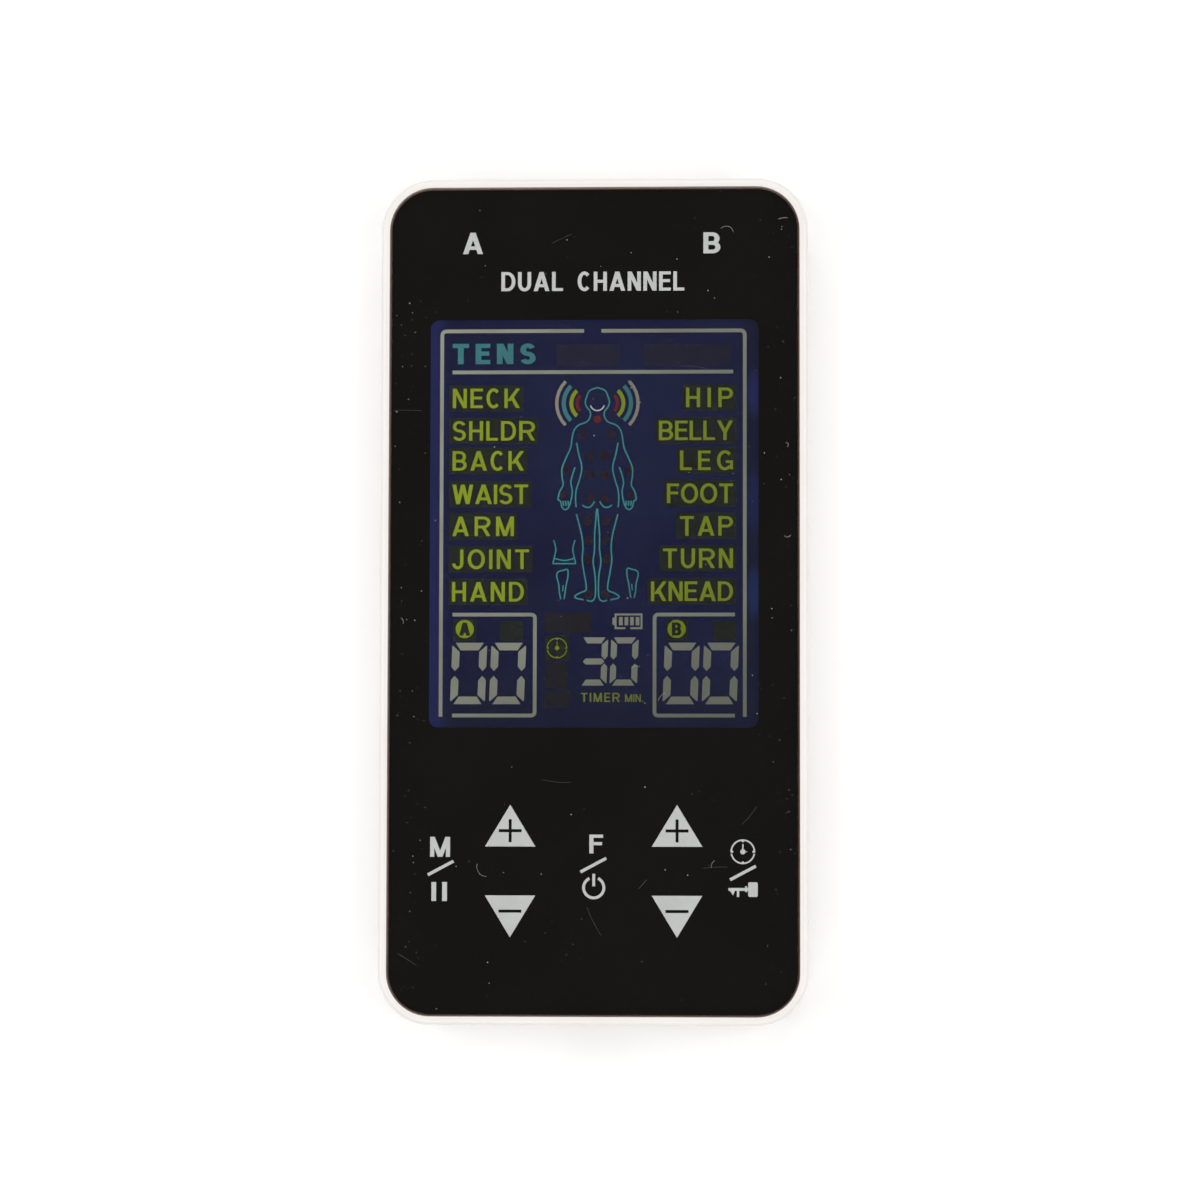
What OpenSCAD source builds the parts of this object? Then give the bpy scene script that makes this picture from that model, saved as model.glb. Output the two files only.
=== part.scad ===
// Two-channel TENS unit: a slim hand-held case with a flush touch panel, a segment display,
// two lead jacks in the top end and a charging socket in the bottom end.
// It lies on its back: X across, Y towards the jacks, Z out of the front panel, millimetres.

/* [Case] */
// Width across the long sides
case_w = 60.8; // [60:0.2:64]
// Length from the socket end to the jack end
case_l = 120.2; // [119:0.1:124]
// Radius of the four corners seen from the front
corner_r = 7.4; // [7:0.1:9]
// Wall and back thickness
wall = 1.6; // [1.4:0.1:1.8]
// Rounding along the back edge
back_edge_r = 3; // [2.5:0.5:3.5]
// Height of the line where the two case halves meet
parting_z = 8; // [7.8:0.1:8.4]
// Width of the rim that shows around the lens
rim_w = 1.3; // [1.1:0.1:1.4]

/* [Front panel] */
// Thickness of the clear lens
lens_t = 1.15; // [1:0.05:1.2]
// How far the lens stands proud of the rim
lens_proud = 0.3; // [0.1:0.1:0.5]
// Width of the display window
window_w = 46.7; // [44:0.1:48]
// Length of the display window
window_l = 58.1; // [56:0.1:59]
// Height of the window's middle above the case's middle
window_y = 10.9; // [10.5:0.1:11.5]
// Corner radius of the window
window_r = 1.3; // [1:0.1:2]

/* [Keys] */
// Half the distance between the two columns of arrow keys
arrow_x = 11.7; // [11:0.1:13]
// Middle of the upper arrow keys
arrow_up_y = -32.5; // [-33:0.1:-32]
// Middle of the lower arrow keys
arrow_down_y = -43.9; // [-45:0.1:-43]
// Half the distance between the outer function keys
function_x = 21.25; // [21:0.25:22]
// Middle of the function keys
function_y = -38; // [-39:0.5:-37]

/* [Jacks] */
// Distance of each jack from the middle of the case
jack_x = 17; // [16:0.5:17.5]
// Height of the jack axis above the back
jack_z = 5; // [4.9:0.1:5.1]
// Bore of the jack, for a 2.5 mm plug
jack_bore_d = 2.6; // [2.55:0.05:2.65]

/* [Hidden] */

$fn = 48;
eps = 0.02;          // how far a cutter runs past the face it opens
slip = 0.1;          // clearance between parts that are dropped together

// Plan of the case: everything with rounded corners shares these corner centres.
corner_x = case_w / 2 - corner_r;
corner_y = case_l / 2 - corner_r;
end_y = case_l / 2;

// Levels, from the back face up.
board_z = 6.2;       // underside of the main board
board_t = 1;
board_top = board_z + board_t;
ledge_z = 10.3;      // where the lens stack rests in the frame
ledge_t = 1;
ledge_w = 2;
gasket_t = 0.15;
film_z = ledge_z + gasket_t;
film_t = 0.15;
ink_gap = 0.05;      // room for the printed symbols between film and lens
lens_z = film_z + film_t + ink_gap;
lens_top = lens_z + lens_t;
rim_top = lens_top - lens_proud;
lens_r = corner_r - rim_w;
lens_edge_r = 0.35;
recess_r = lens_r + slip;

// Joint between the case halves: a lip on the rear shell, a rebate in the frame.
lip_t = 0.7;
lip_h = 0.8;
seam_gap = 0.25;     // shadow line that shows along the seam
rim_edge_r = 0.7;

// Screw bosses in the corners, set out from the corner centres.
boss_r = 2.5;
boss_merge = 0.1;    // how far a boss runs into the wall
boss_out = (corner_r - wall - boss_r + boss_merge) * sin(45);
frame_boss_r = boss_r - 2 * boss_merge;
boss_split = 4.6;    // height where the frame's boss meets the shell's
screw_head_r = 1.8;
screw_head_h = 1.3;
screw_seat_z = 2.4;
screw_shank_r = 0.95;
screw_tip_z = 8.8;
screw_clear_r = 1.15;
screw_pilot_r = 0.85;
head_well_r = 2.1;

// Board screws and their standoffs.
board_screw_places = [[-15, -52], [15, -52], [0, 53]];
standoff_r = 1.9;
board_shank_r = 0.75;
board_pilot_r = 0.65;
board_head_r = 1.5;
board_head_h = 0.9;
board_tip_z = 3;

// Jack, along Y.
jack_r = jack_bore_d / 2;
jack_body_w = 6;
jack_body_h = 5;
jack_nose_y = end_y - 0.5;
jack_front_y = end_y - 2.1;
jack_back_y = end_y - 12.7;
jack_nose_r = 2;
jack_hole_r = 2.2;
sleeve_r = 1.6;
sleeve_back_y = end_y - 6.5;
chamber_w = 3.8;
chamber_back_y = jack_back_y + 0.6;
chamber_roof = 0.4;
spring_w = 1.6;
spring_t = 0.2;
spring_root = [end_y - 7, 3.2];      // Y and Z of the leaf's root, where it bends
spring_crest = [end_y - 9.5, 4.05];  // where the plug's tip presses it
spring_tail = 1.4;                   // from the crest to the end
lug_places = [jack_back_y + 2.6, jack_back_y + 7.6];

// Charging socket, along Y, hung under the board.
usb_front_y = 0.9 - end_y;
usb_back_y = 6.5 - end_y;
usb_top_w = 7.5;
usb_low_w = 5.6;
usb_h = 2.6;
usb_skin = 0.25;

// Display stack. The rear glass has a ledge at its lower edge for the pins.
lcd_w = 50;
lcd_l = 61.5;
glass_t = 0.55;
polarizer_t = 0.2;
polarizer_inset = 0.7;
lcd_top = 10.15;
pin_ledge = 2.5;
pin_count = 20;
pin_pitch = 2.1;
tray_w = 53;
tray_l = 68.8;
tray_low_y = window_y - tray_l / 2;
tray_high_y = window_y + tray_l / 2;
tray_floor = 0.3;
guide_w = 48.4;
guide_l = 60;

// Battery, flat on the back behind the display.
battery_w = 34;
battery_l = 48;
battery_t = 3.9;
battery_y = -3;
battery_z = 1.85;

label_w = 34;
label_l = 46;
label_depth = 0.3;
label_t = 0.15;
label_y = 6;

key_places = concat(
    [for (x = [-function_x, 0, function_x]) [x, function_y]],
    [for (x = [-arrow_x, arrow_x], y = [arrow_up_y, arrow_down_y]) [x, y]]);

// ---- Shapes that repeat ----

// A flat outline with round corners.
module rounded_rect(w, l, r) {
    square([w - 2 * r, l], center = true);
    square([w, l - 2 * r], center = true);
    for (x = [-1, 1], y = [-1, 1])
        translate([x * (w / 2 - r), y * (l / 2 - r)]) circle(r);
}

// A sheet with round corners between two heights.
module sheet(w, l, r, z, t, y = 0) {
    translate([0, y, z]) linear_extrude(t) rounded_rect(w, l, r);
}

// A box set by its middle in X and Y, and by its underside in Z.
module block(x, y, z, w, l, h) {
    translate([x - w / 2, y - l / 2, z]) cube([w, l, h]);
}

// Carries a section around the case. The section's X runs out from the corner centres.
module around_case() {
    for (side = [0, 1], end = [0, 1])
        mirror([side, 0, 0]) mirror([0, end, 0])
            translate([corner_x, corner_y, 0]) rotate_extrude(angle = 90) children();
    for (turn = [0, 180]) {
        rotate([0, 0, turn]) translate([corner_x, corner_y, 0])
            rotate([90, 0, 0]) linear_extrude(2 * corner_y) children();
        rotate([0, 0, turn + 90]) translate([corner_y, corner_x, 0])
            rotate([90, 0, 0]) linear_extrude(2 * corner_x) children();
    }
}

// Puts its children at each corner boss.
module at_bosses() {
    for (x = [-1, 1], y = [-1, 1])
        translate([x * (corner_x + boss_out), y * (corner_y + boss_out), 0]) children();
}

module at_places(places) {
    for (p = places) translate([p[0], p[1], 0]) children();
}

module rod(r, z, h) {
    translate([0, 0, z]) cylinder(r = r, h = h);
}

// A cylinder along Y between two Y values, at the jack's height.
module jack_rod(r, y0, y1) {
    translate([0, y1, jack_z]) rotate([90, 0, 0]) cylinder(r = r, h = y1 - y0);
}

// A cross slot for a screwdriver, cut down from z.
module cross_slot(z, depth, arm) {
    block(0, 0, z, 2 * arm, 0.45, depth);
    block(0, 0, z, 0.45, 2 * arm, depth);
}

// Closed skin over rings of points, with a cap at each end.
module ring_skin(rings) {
    sides = len(rings[0]);
    last = len(rings) - 1;
    polyhedron(
        points = [for (ring = rings, p = ring) p],
        faces = concat(
            [[for (k = [0 : sides - 1]) k]],
            [for (i = [0 : last - 1], k = [0 : sides - 1])
                [i * sides + k, (i + 1) * sides + k,
                 (i + 1) * sides + (k + 1) % sides, i * sides + (k + 1) % sides]],
            [[for (k = [sides - 1 : -1 : 0]) last * sides + k]]));
}

// One ring of a wire: a circle of radius r about p, in the plane of the unit vectors a and b.
function wire_ring(p, a, b, r, sides) =
    [for (k = [0 : sides - 1]) let (t = 360 * k / sides) p + r * (cos(t) * a + sin(t) * b)];

// The way a level route runs at point i, as a unit vector.
function heading(route, i) =
    let (d = route[min(i + 1, len(route) - 1)] - route[max(i - 1, 0)]) d / norm(d);

// A wire that follows a level route of [x, y] points at one height.
module level_wire(route, z, r) {
    ring_skin([for (i = [0 : len(route) - 1])
        let (d = heading(route, i))
        wire_ring([route[i][0], route[i][1], z], [-d[1], d[0], 0], [0, 0, 1], r, 8)]);
}

// ---- Case ----

module rear_shell_section() {
    difference() {
        union() {
            square([corner_r - back_edge_r, back_edge_r]);
            translate([0, back_edge_r]) square([corner_r, parting_z - back_edge_r]);
            intersection() {
                translate([corner_r - back_edge_r, back_edge_r]) circle(back_edge_r);
                translate([corner_r - back_edge_r, 0]) square(back_edge_r);
            }
            translate([corner_r - wall, parting_z - lip_h]) square([lip_t, 2 * lip_h]);
        }
        inner_r = back_edge_r - wall;
        translate([-eps, wall + inner_r]) square([corner_r - wall + eps, parting_z]);
        translate([-eps, wall]) square([corner_r - back_edge_r + eps, 2 * inner_r]);
        translate([corner_r - back_edge_r, back_edge_r]) circle(inner_r);
    }
}

module battery_rails() {
    rail_h = 2.2;
    rail_gap = 0.5;
    for (side = [-1, 1]) {
        block(side * (battery_w / 2 + rail_gap + 0.5), battery_y, wall - eps, 1, battery_l - 8, rail_h);
        block(side * 9, battery_y + battery_l / 2 + rail_gap + 0.5, wall - eps, 8, 1, rail_h);
    }
}

module rear_shell() {
    color("white") difference() {
        union() {
            around_case() rear_shell_section();
            block(0, 0, 0, 2 * corner_x, 2 * corner_y, wall);
            at_bosses() rod(boss_r, wall / 2, boss_split - wall / 2);
            at_places(board_screw_places) rod(standoff_r, wall / 2, board_z - wall / 2);
            battery_rails();
        }
        at_bosses() {
            rod(head_well_r, -eps, screw_seat_z + eps);
            rod(screw_clear_r, 0, boss_split + eps);
        }
        at_places(board_screw_places) rod(board_pilot_r, board_tip_z - 0.2, board_z);
        for (side = [-1, 1])
            translate([side * jack_x, 0, 0]) jack_rod(jack_hole_r, end_y - wall - 1, end_y + 1);
        usb_opening();
        sheet(label_w + 0.4, label_l + 0.4, 2, -eps, label_depth + eps, label_y);
    }
}

// The slot in the bottom end, a little wider than the charging plug's shell.
module usb_opening() {
    slot_r = 0.9;
    slot_w = usb_top_w + 1;
    slot_z = board_z - usb_h / 2;
    translate([0, 1 - end_y + wall, slot_z]) rotate([90, 0, 0])
        linear_extrude(wall + 2) rounded_rect(slot_w, usb_h + 1, slot_r);
}

module front_frame_section() {
    difference() {
        union() {
            translate([corner_r - wall + lip_t + slip, parting_z])
                square([wall - lip_t - slip, lip_h + 2 * slip]);
            translate([recess_r - ledge_w, ledge_z - ledge_t]) square([ledge_w + slip, ledge_t]);
            translate([corner_r - wall, parting_z + lip_h + slip])
                square([wall, ledge_z - parting_z - lip_h - slip]);
            translate([recess_r, ledge_z - eps])
                square([corner_r - recess_r, rim_top - rim_edge_r - ledge_z + eps]);
            translate([recess_r, rim_top - rim_edge_r - eps])
                square([corner_r - recess_r - rim_edge_r, rim_edge_r + eps]);
            intersection() {
                translate([corner_r - rim_edge_r, rim_top - rim_edge_r]) circle(rim_edge_r);
                translate([corner_r - rim_edge_r, rim_top - rim_edge_r]) square(rim_edge_r);
            }
        }
        translate([corner_r - seam_gap, parting_z - eps]) square([1, seam_gap + eps]);
    }
}

module front_frame() {
    bar_w = 1.6;
    bar_l = 2 * (corner_x + recess_r - ledge_w) + 0.4;
    color("white") difference() {
        union() {
            around_case() front_frame_section();
            at_bosses() rod(frame_boss_r, boss_split + slip, ledge_z - boss_split - slip);
            for (y = [tray_low_y - 1.2, tray_high_y + 1.2])
                block(0, y, ledge_z - ledge_t, bar_l, bar_w, ledge_t);
        }
        at_bosses() rod(screw_pilot_r, boss_split, screw_tip_z + 0.3 - boss_split);
    }
}

module case_screws() {
    color("silver") at_bosses() difference() {
        union() {
            rod(screw_head_r, screw_seat_z - screw_head_h, screw_head_h);
            rod(screw_shank_r, screw_seat_z - eps, screw_tip_z - 0.8 - screw_seat_z);
            translate([0, 0, screw_tip_z - 0.8 - 2 * eps])
                cylinder(r1 = screw_shank_r, r2 = 0.3, h = 0.8);
        }
        cross_slot(screw_seat_z - screw_head_h - eps, 0.8, 1.05);
    }
}

module rating_label() {
    color("gainsboro") sheet(label_w, label_l, 1.8, label_depth - label_t, label_t, label_y);
}

// ---- Front panel ----

module front_lens() {
    color([0.9, 0.95, 1, 0.3]) union() {
        around_case() union() {
            square_r = lens_r - lens_edge_r;
            translate([0, lens_z]) square([lens_r, lens_t - lens_edge_r]);
            translate([0, lens_top - lens_edge_r - eps]) square([square_r, lens_edge_r + eps]);
            intersection() {
                translate([square_r, lens_top - lens_edge_r]) circle(lens_edge_r);
                translate([square_r, lens_top - lens_edge_r]) square(lens_edge_r);
            }
        }
        block(0, 0, lens_z, 2 * corner_x, 2 * corner_y, lens_t);
    }
}

// The black print covers the back of the lens up to its edge.
module print_film() {
    color([0.07, 0.07, 0.065]) difference() {
        sheet(case_w - 2 * rim_w, case_l - 2 * rim_w, lens_r, film_z, film_t);
        sheet(window_w, window_l, window_r, film_z - 1, 2, window_y);
    }
}

// Arrow key: a triangle with its sign left out of it, set by the middle of the sign.
module arrow_symbol(plus) {
    half_w = 3.5;
    base_y = -2.25;
    apex_y = 3.66;
    sign_w = 3.1;
    sign_t = 0.36;
    difference() {
        polygon([[-half_w, base_y], [half_w, base_y], [0, apex_y]]);
        square([sign_w, sign_t], center = true);
        if (plus) square([sign_t, sign_w], center = true);
    }
}

letter_h = 2.7;
letter_stroke = 0.56;

module letter_f() {
    w = 2;
    translate([-w / 2, -letter_h / 2]) {
        square([letter_stroke, letter_h]);
        translate([0, letter_h - letter_stroke]) square([w, letter_stroke]);
        translate([0, letter_h / 2 - 0.2]) square([w - 0.3, letter_stroke]);
    }
}

module letter_m() {
    w = 2.8;
    h = letter_h;
    t = letter_stroke;
    translate([-w / 2, -h / 2]) polygon([[0, 0], [0, h], [t + 0.15, h],
        [w / 2, 0.9], [w - t - 0.15, h], [w, h], [w, 0], [w - t, 0], [w - t, h - 0.75],
        [w / 2 + 0.3, 0], [w / 2 - 0.3, 0], [t, h - 0.75], [t, 0]]);
}

module slash_symbol() {
    rotate(28.4) square([4.1, 0.42], center = true);
}

module power_symbol() {
    ring_r = 1.62;
    stroke = 0.4;
    difference() {
        circle(ring_r);
        circle(ring_r - stroke);
        translate([-0.5, 0]) square([1, 2]);
    }
    translate([-stroke / 2, 0.2]) square([stroke, 1.75]);
}

module clock_symbol() {
    ring_r = 1.72;
    stroke = 0.22;
    difference() {
        circle(ring_r);
        circle(ring_r - stroke);
        square([4, stroke], center = true);
        square([stroke, 4], center = true);
    }
    circle(0.3);
    for (turn = [0 : 90 : 270]) rotate(turn) translate([-stroke / 2, 1.3]) square([stroke, 0.35]);
    translate([-stroke / 2, 0]) square([stroke, 0.95]);
    square([0.65, stroke / 2]);
}

module lock_symbol() {
    translate([1.35, 0]) rounded_rect(1.35, 2, 0.3);
    translate([-2, 0]) square([2.9, 0.38]);
    polygon([[-2.05, 0.36], [-0.95, 0.36], [-1.5, -0.6]]);
    translate([-0.9, -1]) square([0.32, 1.2]);
}

// The printed symbols on the film, seen through the lens.
module key_symbols() {
    ink_t = 0.03;
    color("silver") translate([0, 0, film_z + film_t + (ink_gap - ink_t) / 2]) linear_extrude(ink_t) {
        for (x = [-arrow_x, arrow_x]) {
            translate([x, arrow_up_y]) arrow_symbol(true);
            translate([x, arrow_down_y]) mirror([0, 1]) arrow_symbol(false);
        }
        translate([-function_x, function_y]) {
            translate([0, 3.2]) letter_m();
            slash_symbol();
            for (x = [-0.76, 0.76]) translate([x, -3.2]) square([0.72, letter_h], center = true);
        }
        translate([0, function_y]) {
            translate([0, 3.5]) letter_f();
            translate([0, 0.5]) slash_symbol();
            translate([0, -2.6]) power_symbol();
        }
        translate([function_x, function_y]) {
            translate([0, 2.6]) clock_symbol();
            translate([0, -0.4]) slash_symbol();
            translate([0, -2.9]) lock_symbol();
        }
    }
}

module window_tint() {
    color([0.05, 0.05, 0.1, 0.5])
        sheet(window_w - 0.1, window_l - 0.1, window_r - 0.05, film_z + 0.03, film_t - 0.06, window_y);
}

module lens_gasket() {
    color("black") around_case()
        translate([recess_r - 1.8, ledge_z]) square([1.6, gasket_t]);
}

// ---- Display ----

front_glass_z = lcd_top - polarizer_t - glass_t;
rear_glass_z = front_glass_z - glass_t;

module lcd_polarizer(z) {
    block(0, window_y, z, lcd_w - 2 * polarizer_inset, lcd_l - 2 * polarizer_inset, polarizer_t);
}

module lcd_front_polarizer() {
    color("midnightblue") lcd_polarizer(lcd_top - polarizer_t);
}

module lcd_front_glass() {
    color([0.7, 0.85, 0.8, 0.5]) block(0, window_y, front_glass_z, lcd_w, lcd_l, glass_t);
}

module lcd_rear_glass() {
    color([0.7, 0.85, 0.8, 0.5])
        block(0, window_y - pin_ledge / 2, rear_glass_z, lcd_w, lcd_l + pin_ledge, glass_t);
}

module lcd_rear_polarizer() {
    color("midnightblue") lcd_polarizer(rear_glass_z - polarizer_t);
}

// Each pin is a strip that clips on the glass ledge and bends down to a foot on the board.
module lcd_pins() {
    edge_y = window_y - lcd_l / 2 - pin_ledge;
    strip = 0.2;
    pin_w = 0.5;
    color("silver") for (i = [0 : pin_count - 1]) {
        x = (i - (pin_count - 1) / 2) * pin_pitch;
        block(x, edge_y + 0.4, rear_glass_z + glass_t, pin_w, 1.2, strip);
        block(x, edge_y - 0.1, board_top, pin_w, strip, rear_glass_z + glass_t + strip - board_top);
        block(x, edge_y - 0.25, board_top, pin_w, 0.5, strip);
    }
}

module backlight_frame() {
    color("whitesmoke") difference() {
        block(0, window_y, board_top, tray_w, tray_l, front_glass_z - board_top);
        block(0, window_y - pin_ledge / 2, rear_glass_z - slip, lcd_w + 0.3, lcd_l + pin_ledge + 0.3, 2);
        block(0.7, window_y, board_top + tray_floor, guide_w + 1.7, guide_l + 0.3, 2);
        block(0, window_y - lcd_l / 2 - pin_ledge - 0.3, board_top - eps, pin_count * pin_pitch, 0.8, 3);
    }
}

reflector_t = 0.1;
guide_z = board_top + tray_floor + reflector_t;
guide_t = 0.9;
diffuser_t = 0.12;

module reflector_sheet() {
    color("white") block(0, window_y, board_top + tray_floor, guide_w, guide_l, reflector_t);
}

module light_guide() {
    color([0.85, 0.9, 1, 0.5]) block(0, window_y, guide_z, guide_w, guide_l, guide_t);
}

module diffuser_sheet() {
    color("azure") block(0, window_y, guide_z + guide_t + 0.01, guide_w, guide_l, diffuser_t);
}

// Three side-firing lamps stand along the right edge of the guide.
module backlight_leds() {
    color("lightyellow") for (y = [-9.9, 3.1, 18.6])
        block(guide_w / 2 + 0.75, window_y + y, guide_z, 1.2, 3.8, 0.8);
}

// ---- Main board and what is on it ----

module main_board() {
    edge = wall + 0.5;
    color("darkgreen") difference() {
        sheet(case_w - 2 * edge, case_l - 2 * edge, corner_r - edge, board_z, board_t);
        at_bosses() rod(boss_r + 0.4, board_z - 1, board_t + 2);
        at_places(board_screw_places) rod(board_shank_r + 0.2, board_z - 1, board_t + 2);
        for (side = [-1, 1])
            block(side * jack_x, jack_back_y + 8, board_z - 1, jack_body_w + 0.4, 16.4, board_t + 2);
    }
}

module board_screws() {
    color("silver") at_places(board_screw_places) difference() {
        union() {
            rod(board_shank_r, board_tip_z, board_top - board_tip_z + eps);
            rod(board_head_r, board_top, board_head_h);
        }
        cross_slot(board_top + board_head_h - 0.5, 1, 0.9);
    }
}

pad_t = 0.05;

module touch_pads() {
    color("gold") at_places(key_places) rod(3.4, board_top, pad_t);
}

// A coil spring stands under each key and carries the touch to the board.
module touch_springs() {
    wire_r = 0.2;
    turns = 3;
    steps = 12;
    foot_z = board_top + pad_t + wire_r;
    head_z = film_z - wire_r - 0.02;
    coil_r = 2.6;
    color("silver") at_places(key_places) ring_skin([for (i = [0 : turns * steps])
        let (t = 360 * i / steps, out = [cos(t), sin(t), 0])
        wire_ring(coil_r * out + [0, 0, foot_z + (head_z - foot_z) * i / (turns * steps)],
            out, [0, 0, -1], wire_r, 6)]);
}

// A chip under the board: a body with rows of legs along two sides, or along all four.
module chip(x, y, w, l, h, legs, pitch, all_sides) {
    leg = 0.7;
    leg_w = 0.3;
    leg_t = 0.15;
    color([0.1, 0.1, 0.1]) block(x, y, board_z - h, w, l, h - 0.1);
    color("silver") for (i = [0 : legs - 1], side = [-1, 1]) {
        along = (i - (legs - 1) / 2) * pitch;
        block(x + side * (w / 2 + leg / 2 - eps), y + along, board_z - leg_t, leg, leg_w, leg_t);
        block(x + side * (w / 2 + leg_t / 2 - eps), y + along, board_z - h / 2, leg_t, leg_w, h / 2);
        if (all_sides) {
            block(x + along, y + side * (l / 2 + leg / 2 - eps), board_z - leg_t, leg_w, leg, leg_t);
            block(x + along, y + side * (l / 2 + leg_t / 2 - eps), board_z - h / 2, leg_w, leg_t, h / 2);
        }
    }
}

module controller_chip() { chip(0, -40, 10, 10, 1.5, 12, 0.7, true); }
module touch_chip() { chip(-14, -38, 4, 10, 1.6, 8, 1.27, false); }
module charge_chip() { chip(9.5, -50, 4, 5, 1.6, 4, 1.27, false); }

module board_resistors() {
    color([0.15, 0.15, 0.17]) {
        for (i = [0 : 5]) block(-24.5, -26 + 3 * i, board_z - 0.5, 1.6, 0.8, 0.5);
        for (i = [0 : 4]) block(-7 + 3.5 * i, -30.5, board_z - 0.5, 1.6, 0.8, 0.5);
        for (i = [0 : 3]) block(24.5, 4 + 3 * i, board_z - 0.5, 1.6, 0.8, 0.5);
    }
}

module board_capacitors() {
    color("burlywood") {
        for (i = [0 : 4]) block(24.5, -26 + 4 * i, board_z - 0.9, 2, 1.25, 0.9);
        for (side = [-1, 1]) block(side * 6, -56, board_z - 0.9, 2, 1.25, 0.9);
    }
}

// Two output switches for each channel.
module output_transistors() {
    color([0.12, 0.12, 0.12]) for (x = [-24.5, -9.5, 9.5, 24.5]) block(x, 27, board_z - 1.1, 2.9, 1.3, 1.1);
}

// Output transformer: an E-E core lying flat, with a wound bobbin on its middle leg.
transformer_y = 37;
transformer_z = board_z - 2.25;
core_w = 11;
core_l = 9.6;
core_h = 1.8;
core_yoke = 1.4;
core_leg_w = 2.4;
core_window_w = (core_w - 2 * core_yoke - core_leg_w) / 2;
bobbin_l = core_l - 2 * core_yoke - slip;
bobbin_w = core_w - 2 * core_yoke - 2 * slip;
bobbin_h = 4.2;
bobbin_wall = 0.5;
tube_w = core_leg_w + slip + 2 * bobbin_wall;
tube_h = core_h + slip + 2 * bobbin_wall;

// A block set by its middle on all three axes, offset from the transformer's middle in Y.
module at_transformer(x, dy, w, l, h) {
    block(x, transformer_y + dy, transformer_z - h / 2, w, l, h);
}

module transformer_core(x) {
    color([0.2, 0.2, 0.22]) difference() {
        at_transformer(x, 0, core_w, core_l, core_h);
        for (side = [-1, 1])
            at_transformer(x + side * (core_leg_w + core_window_w) / 2, 0,
                core_window_w, core_l - 2 * core_yoke, core_h + 1);
    }
}

// The bobbin has a flange at each end, and a rail over each yoke that carries the pins.
module transformer_bobbin(x) {
    rail_l = core_yoke + 0.9;
    rail_h = 0.7;
    rail_z = transformer_z + bobbin_h / 2 - rail_h;
    color([0.15, 0.13, 0.12]) difference() {
        union() {
            at_transformer(x, 0, tube_w, bobbin_l, tube_h);
            for (side = [-1, 1]) {
                at_transformer(x, side * (bobbin_l - bobbin_wall) / 2, bobbin_w, bobbin_wall, bobbin_h);
                block(x, transformer_y + side * (bobbin_l - bobbin_wall + rail_l) / 2, rail_z,
                    bobbin_w, rail_l, rail_h);
            }
        }
        at_transformer(x, 0, core_leg_w + slip, bobbin_l + 1, core_h + slip);
    }
    color("silver") for (i = [-1.5 : 1.5], side = [-1, 1])
        block(x + 2 * i, transformer_y + side * ((bobbin_l - bobbin_wall) / 2 + rail_l), board_z - 0.6,
            0.4, 0.5, 0.6);
}

module transformer_winding(x) {
    wound_l = bobbin_l - 2 * bobbin_wall - slip;
    color("peru") translate([x, transformer_y + wound_l / 2, transformer_z]) rotate([90, 0, 0])
        linear_extrude(wound_l) difference() {
            rounded_rect(tube_w + 1.8, tube_h + 1.1, 0.6);
            square([tube_w + 0.04, tube_h + 0.04], center = true);
        }
}

module transformer_a_core() { transformer_core(-jack_x); }
module transformer_b_core() { transformer_core(jack_x); }
module transformer_a_bobbin() { transformer_bobbin(-jack_x); }
module transformer_b_bobbin() { transformer_bobbin(jack_x); }
module transformer_a_winding() { transformer_winding(-jack_x); }
module transformer_b_winding() { transformer_winding(jack_x); }

inductor_y = 37;
inductor_h = 3.6;

module boost_inductor_core() {
    color([0.25, 0.25, 0.27]) translate([0, inductor_y, 0]) {
        rod(1.4, board_z - inductor_h, inductor_h);
        rod(3.4, board_z - inductor_h, 0.8);
        rod(3.4, board_z - 0.8, 0.8);
    }
}

module boost_inductor_winding() {
    color("peru") translate([0, inductor_y, 0]) difference() {
        rod(2.9, board_z - inductor_h + 0.85, inductor_h - 1.7);
        rod(1.45, board_z - inductor_h, inductor_h);
    }
}

// A small electrolytic can that lies on its side.
module reservoir_capacitor() {
    can_r = 2;
    can_l = 7;
    can_y = 28;
    color("midnightblue") translate([-can_l / 2, can_y, board_z - can_r - 0.05])
        rotate([0, 90, 0]) cylinder(r = can_r, h = can_l);
    color("silver") for (y = [-0.75, 0.75])
        translate([can_l / 2 - eps, can_y + y, board_z - can_r - 0.05]) rotate([0, 90, 0])
            cylinder(r = 0.25, h = 1.5);
}

module buzzer() {
    color([0.12, 0.12, 0.12]) translate([15, -39, 0]) difference() {
        rod(4.5, board_z - 3.2, 3.2);
        rod(0.9, board_z - 4, 2);
    }
}

// ---- Battery ----

module battery_cell() {
    color("silver") sheet(battery_w, battery_l, 1.8, battery_z, battery_t, battery_y);
}

module battery_foam() {
    color([0.2, 0.2, 0.2]) block(0, battery_y, wall, battery_w - 6, battery_l - 10, battery_z - wall);
}

// Yellow tape holds the protection board on the cell's end.
module battery_tape() {
    end_y = battery_y - battery_l / 2;
    color("goldenrod") difference() {
        block(0, end_y - 0.6, battery_z + 0.1, battery_w - 4, 4.2, battery_t + 0.15);
        block(0, end_y + 4, battery_z - 1, battery_w + 2, 8, battery_t + 1.05);
        block(0, end_y - 1.3, battery_z + 0.2, battery_w - 4.2, 2.55, battery_t - 0.2);
    }
}

module battery_board() {
    end_y = battery_y - battery_l / 2;
    color("darkgreen") block(0, end_y - 1.3, battery_z + 1.4, battery_w - 6, 2.2, 0.8);
}

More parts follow.
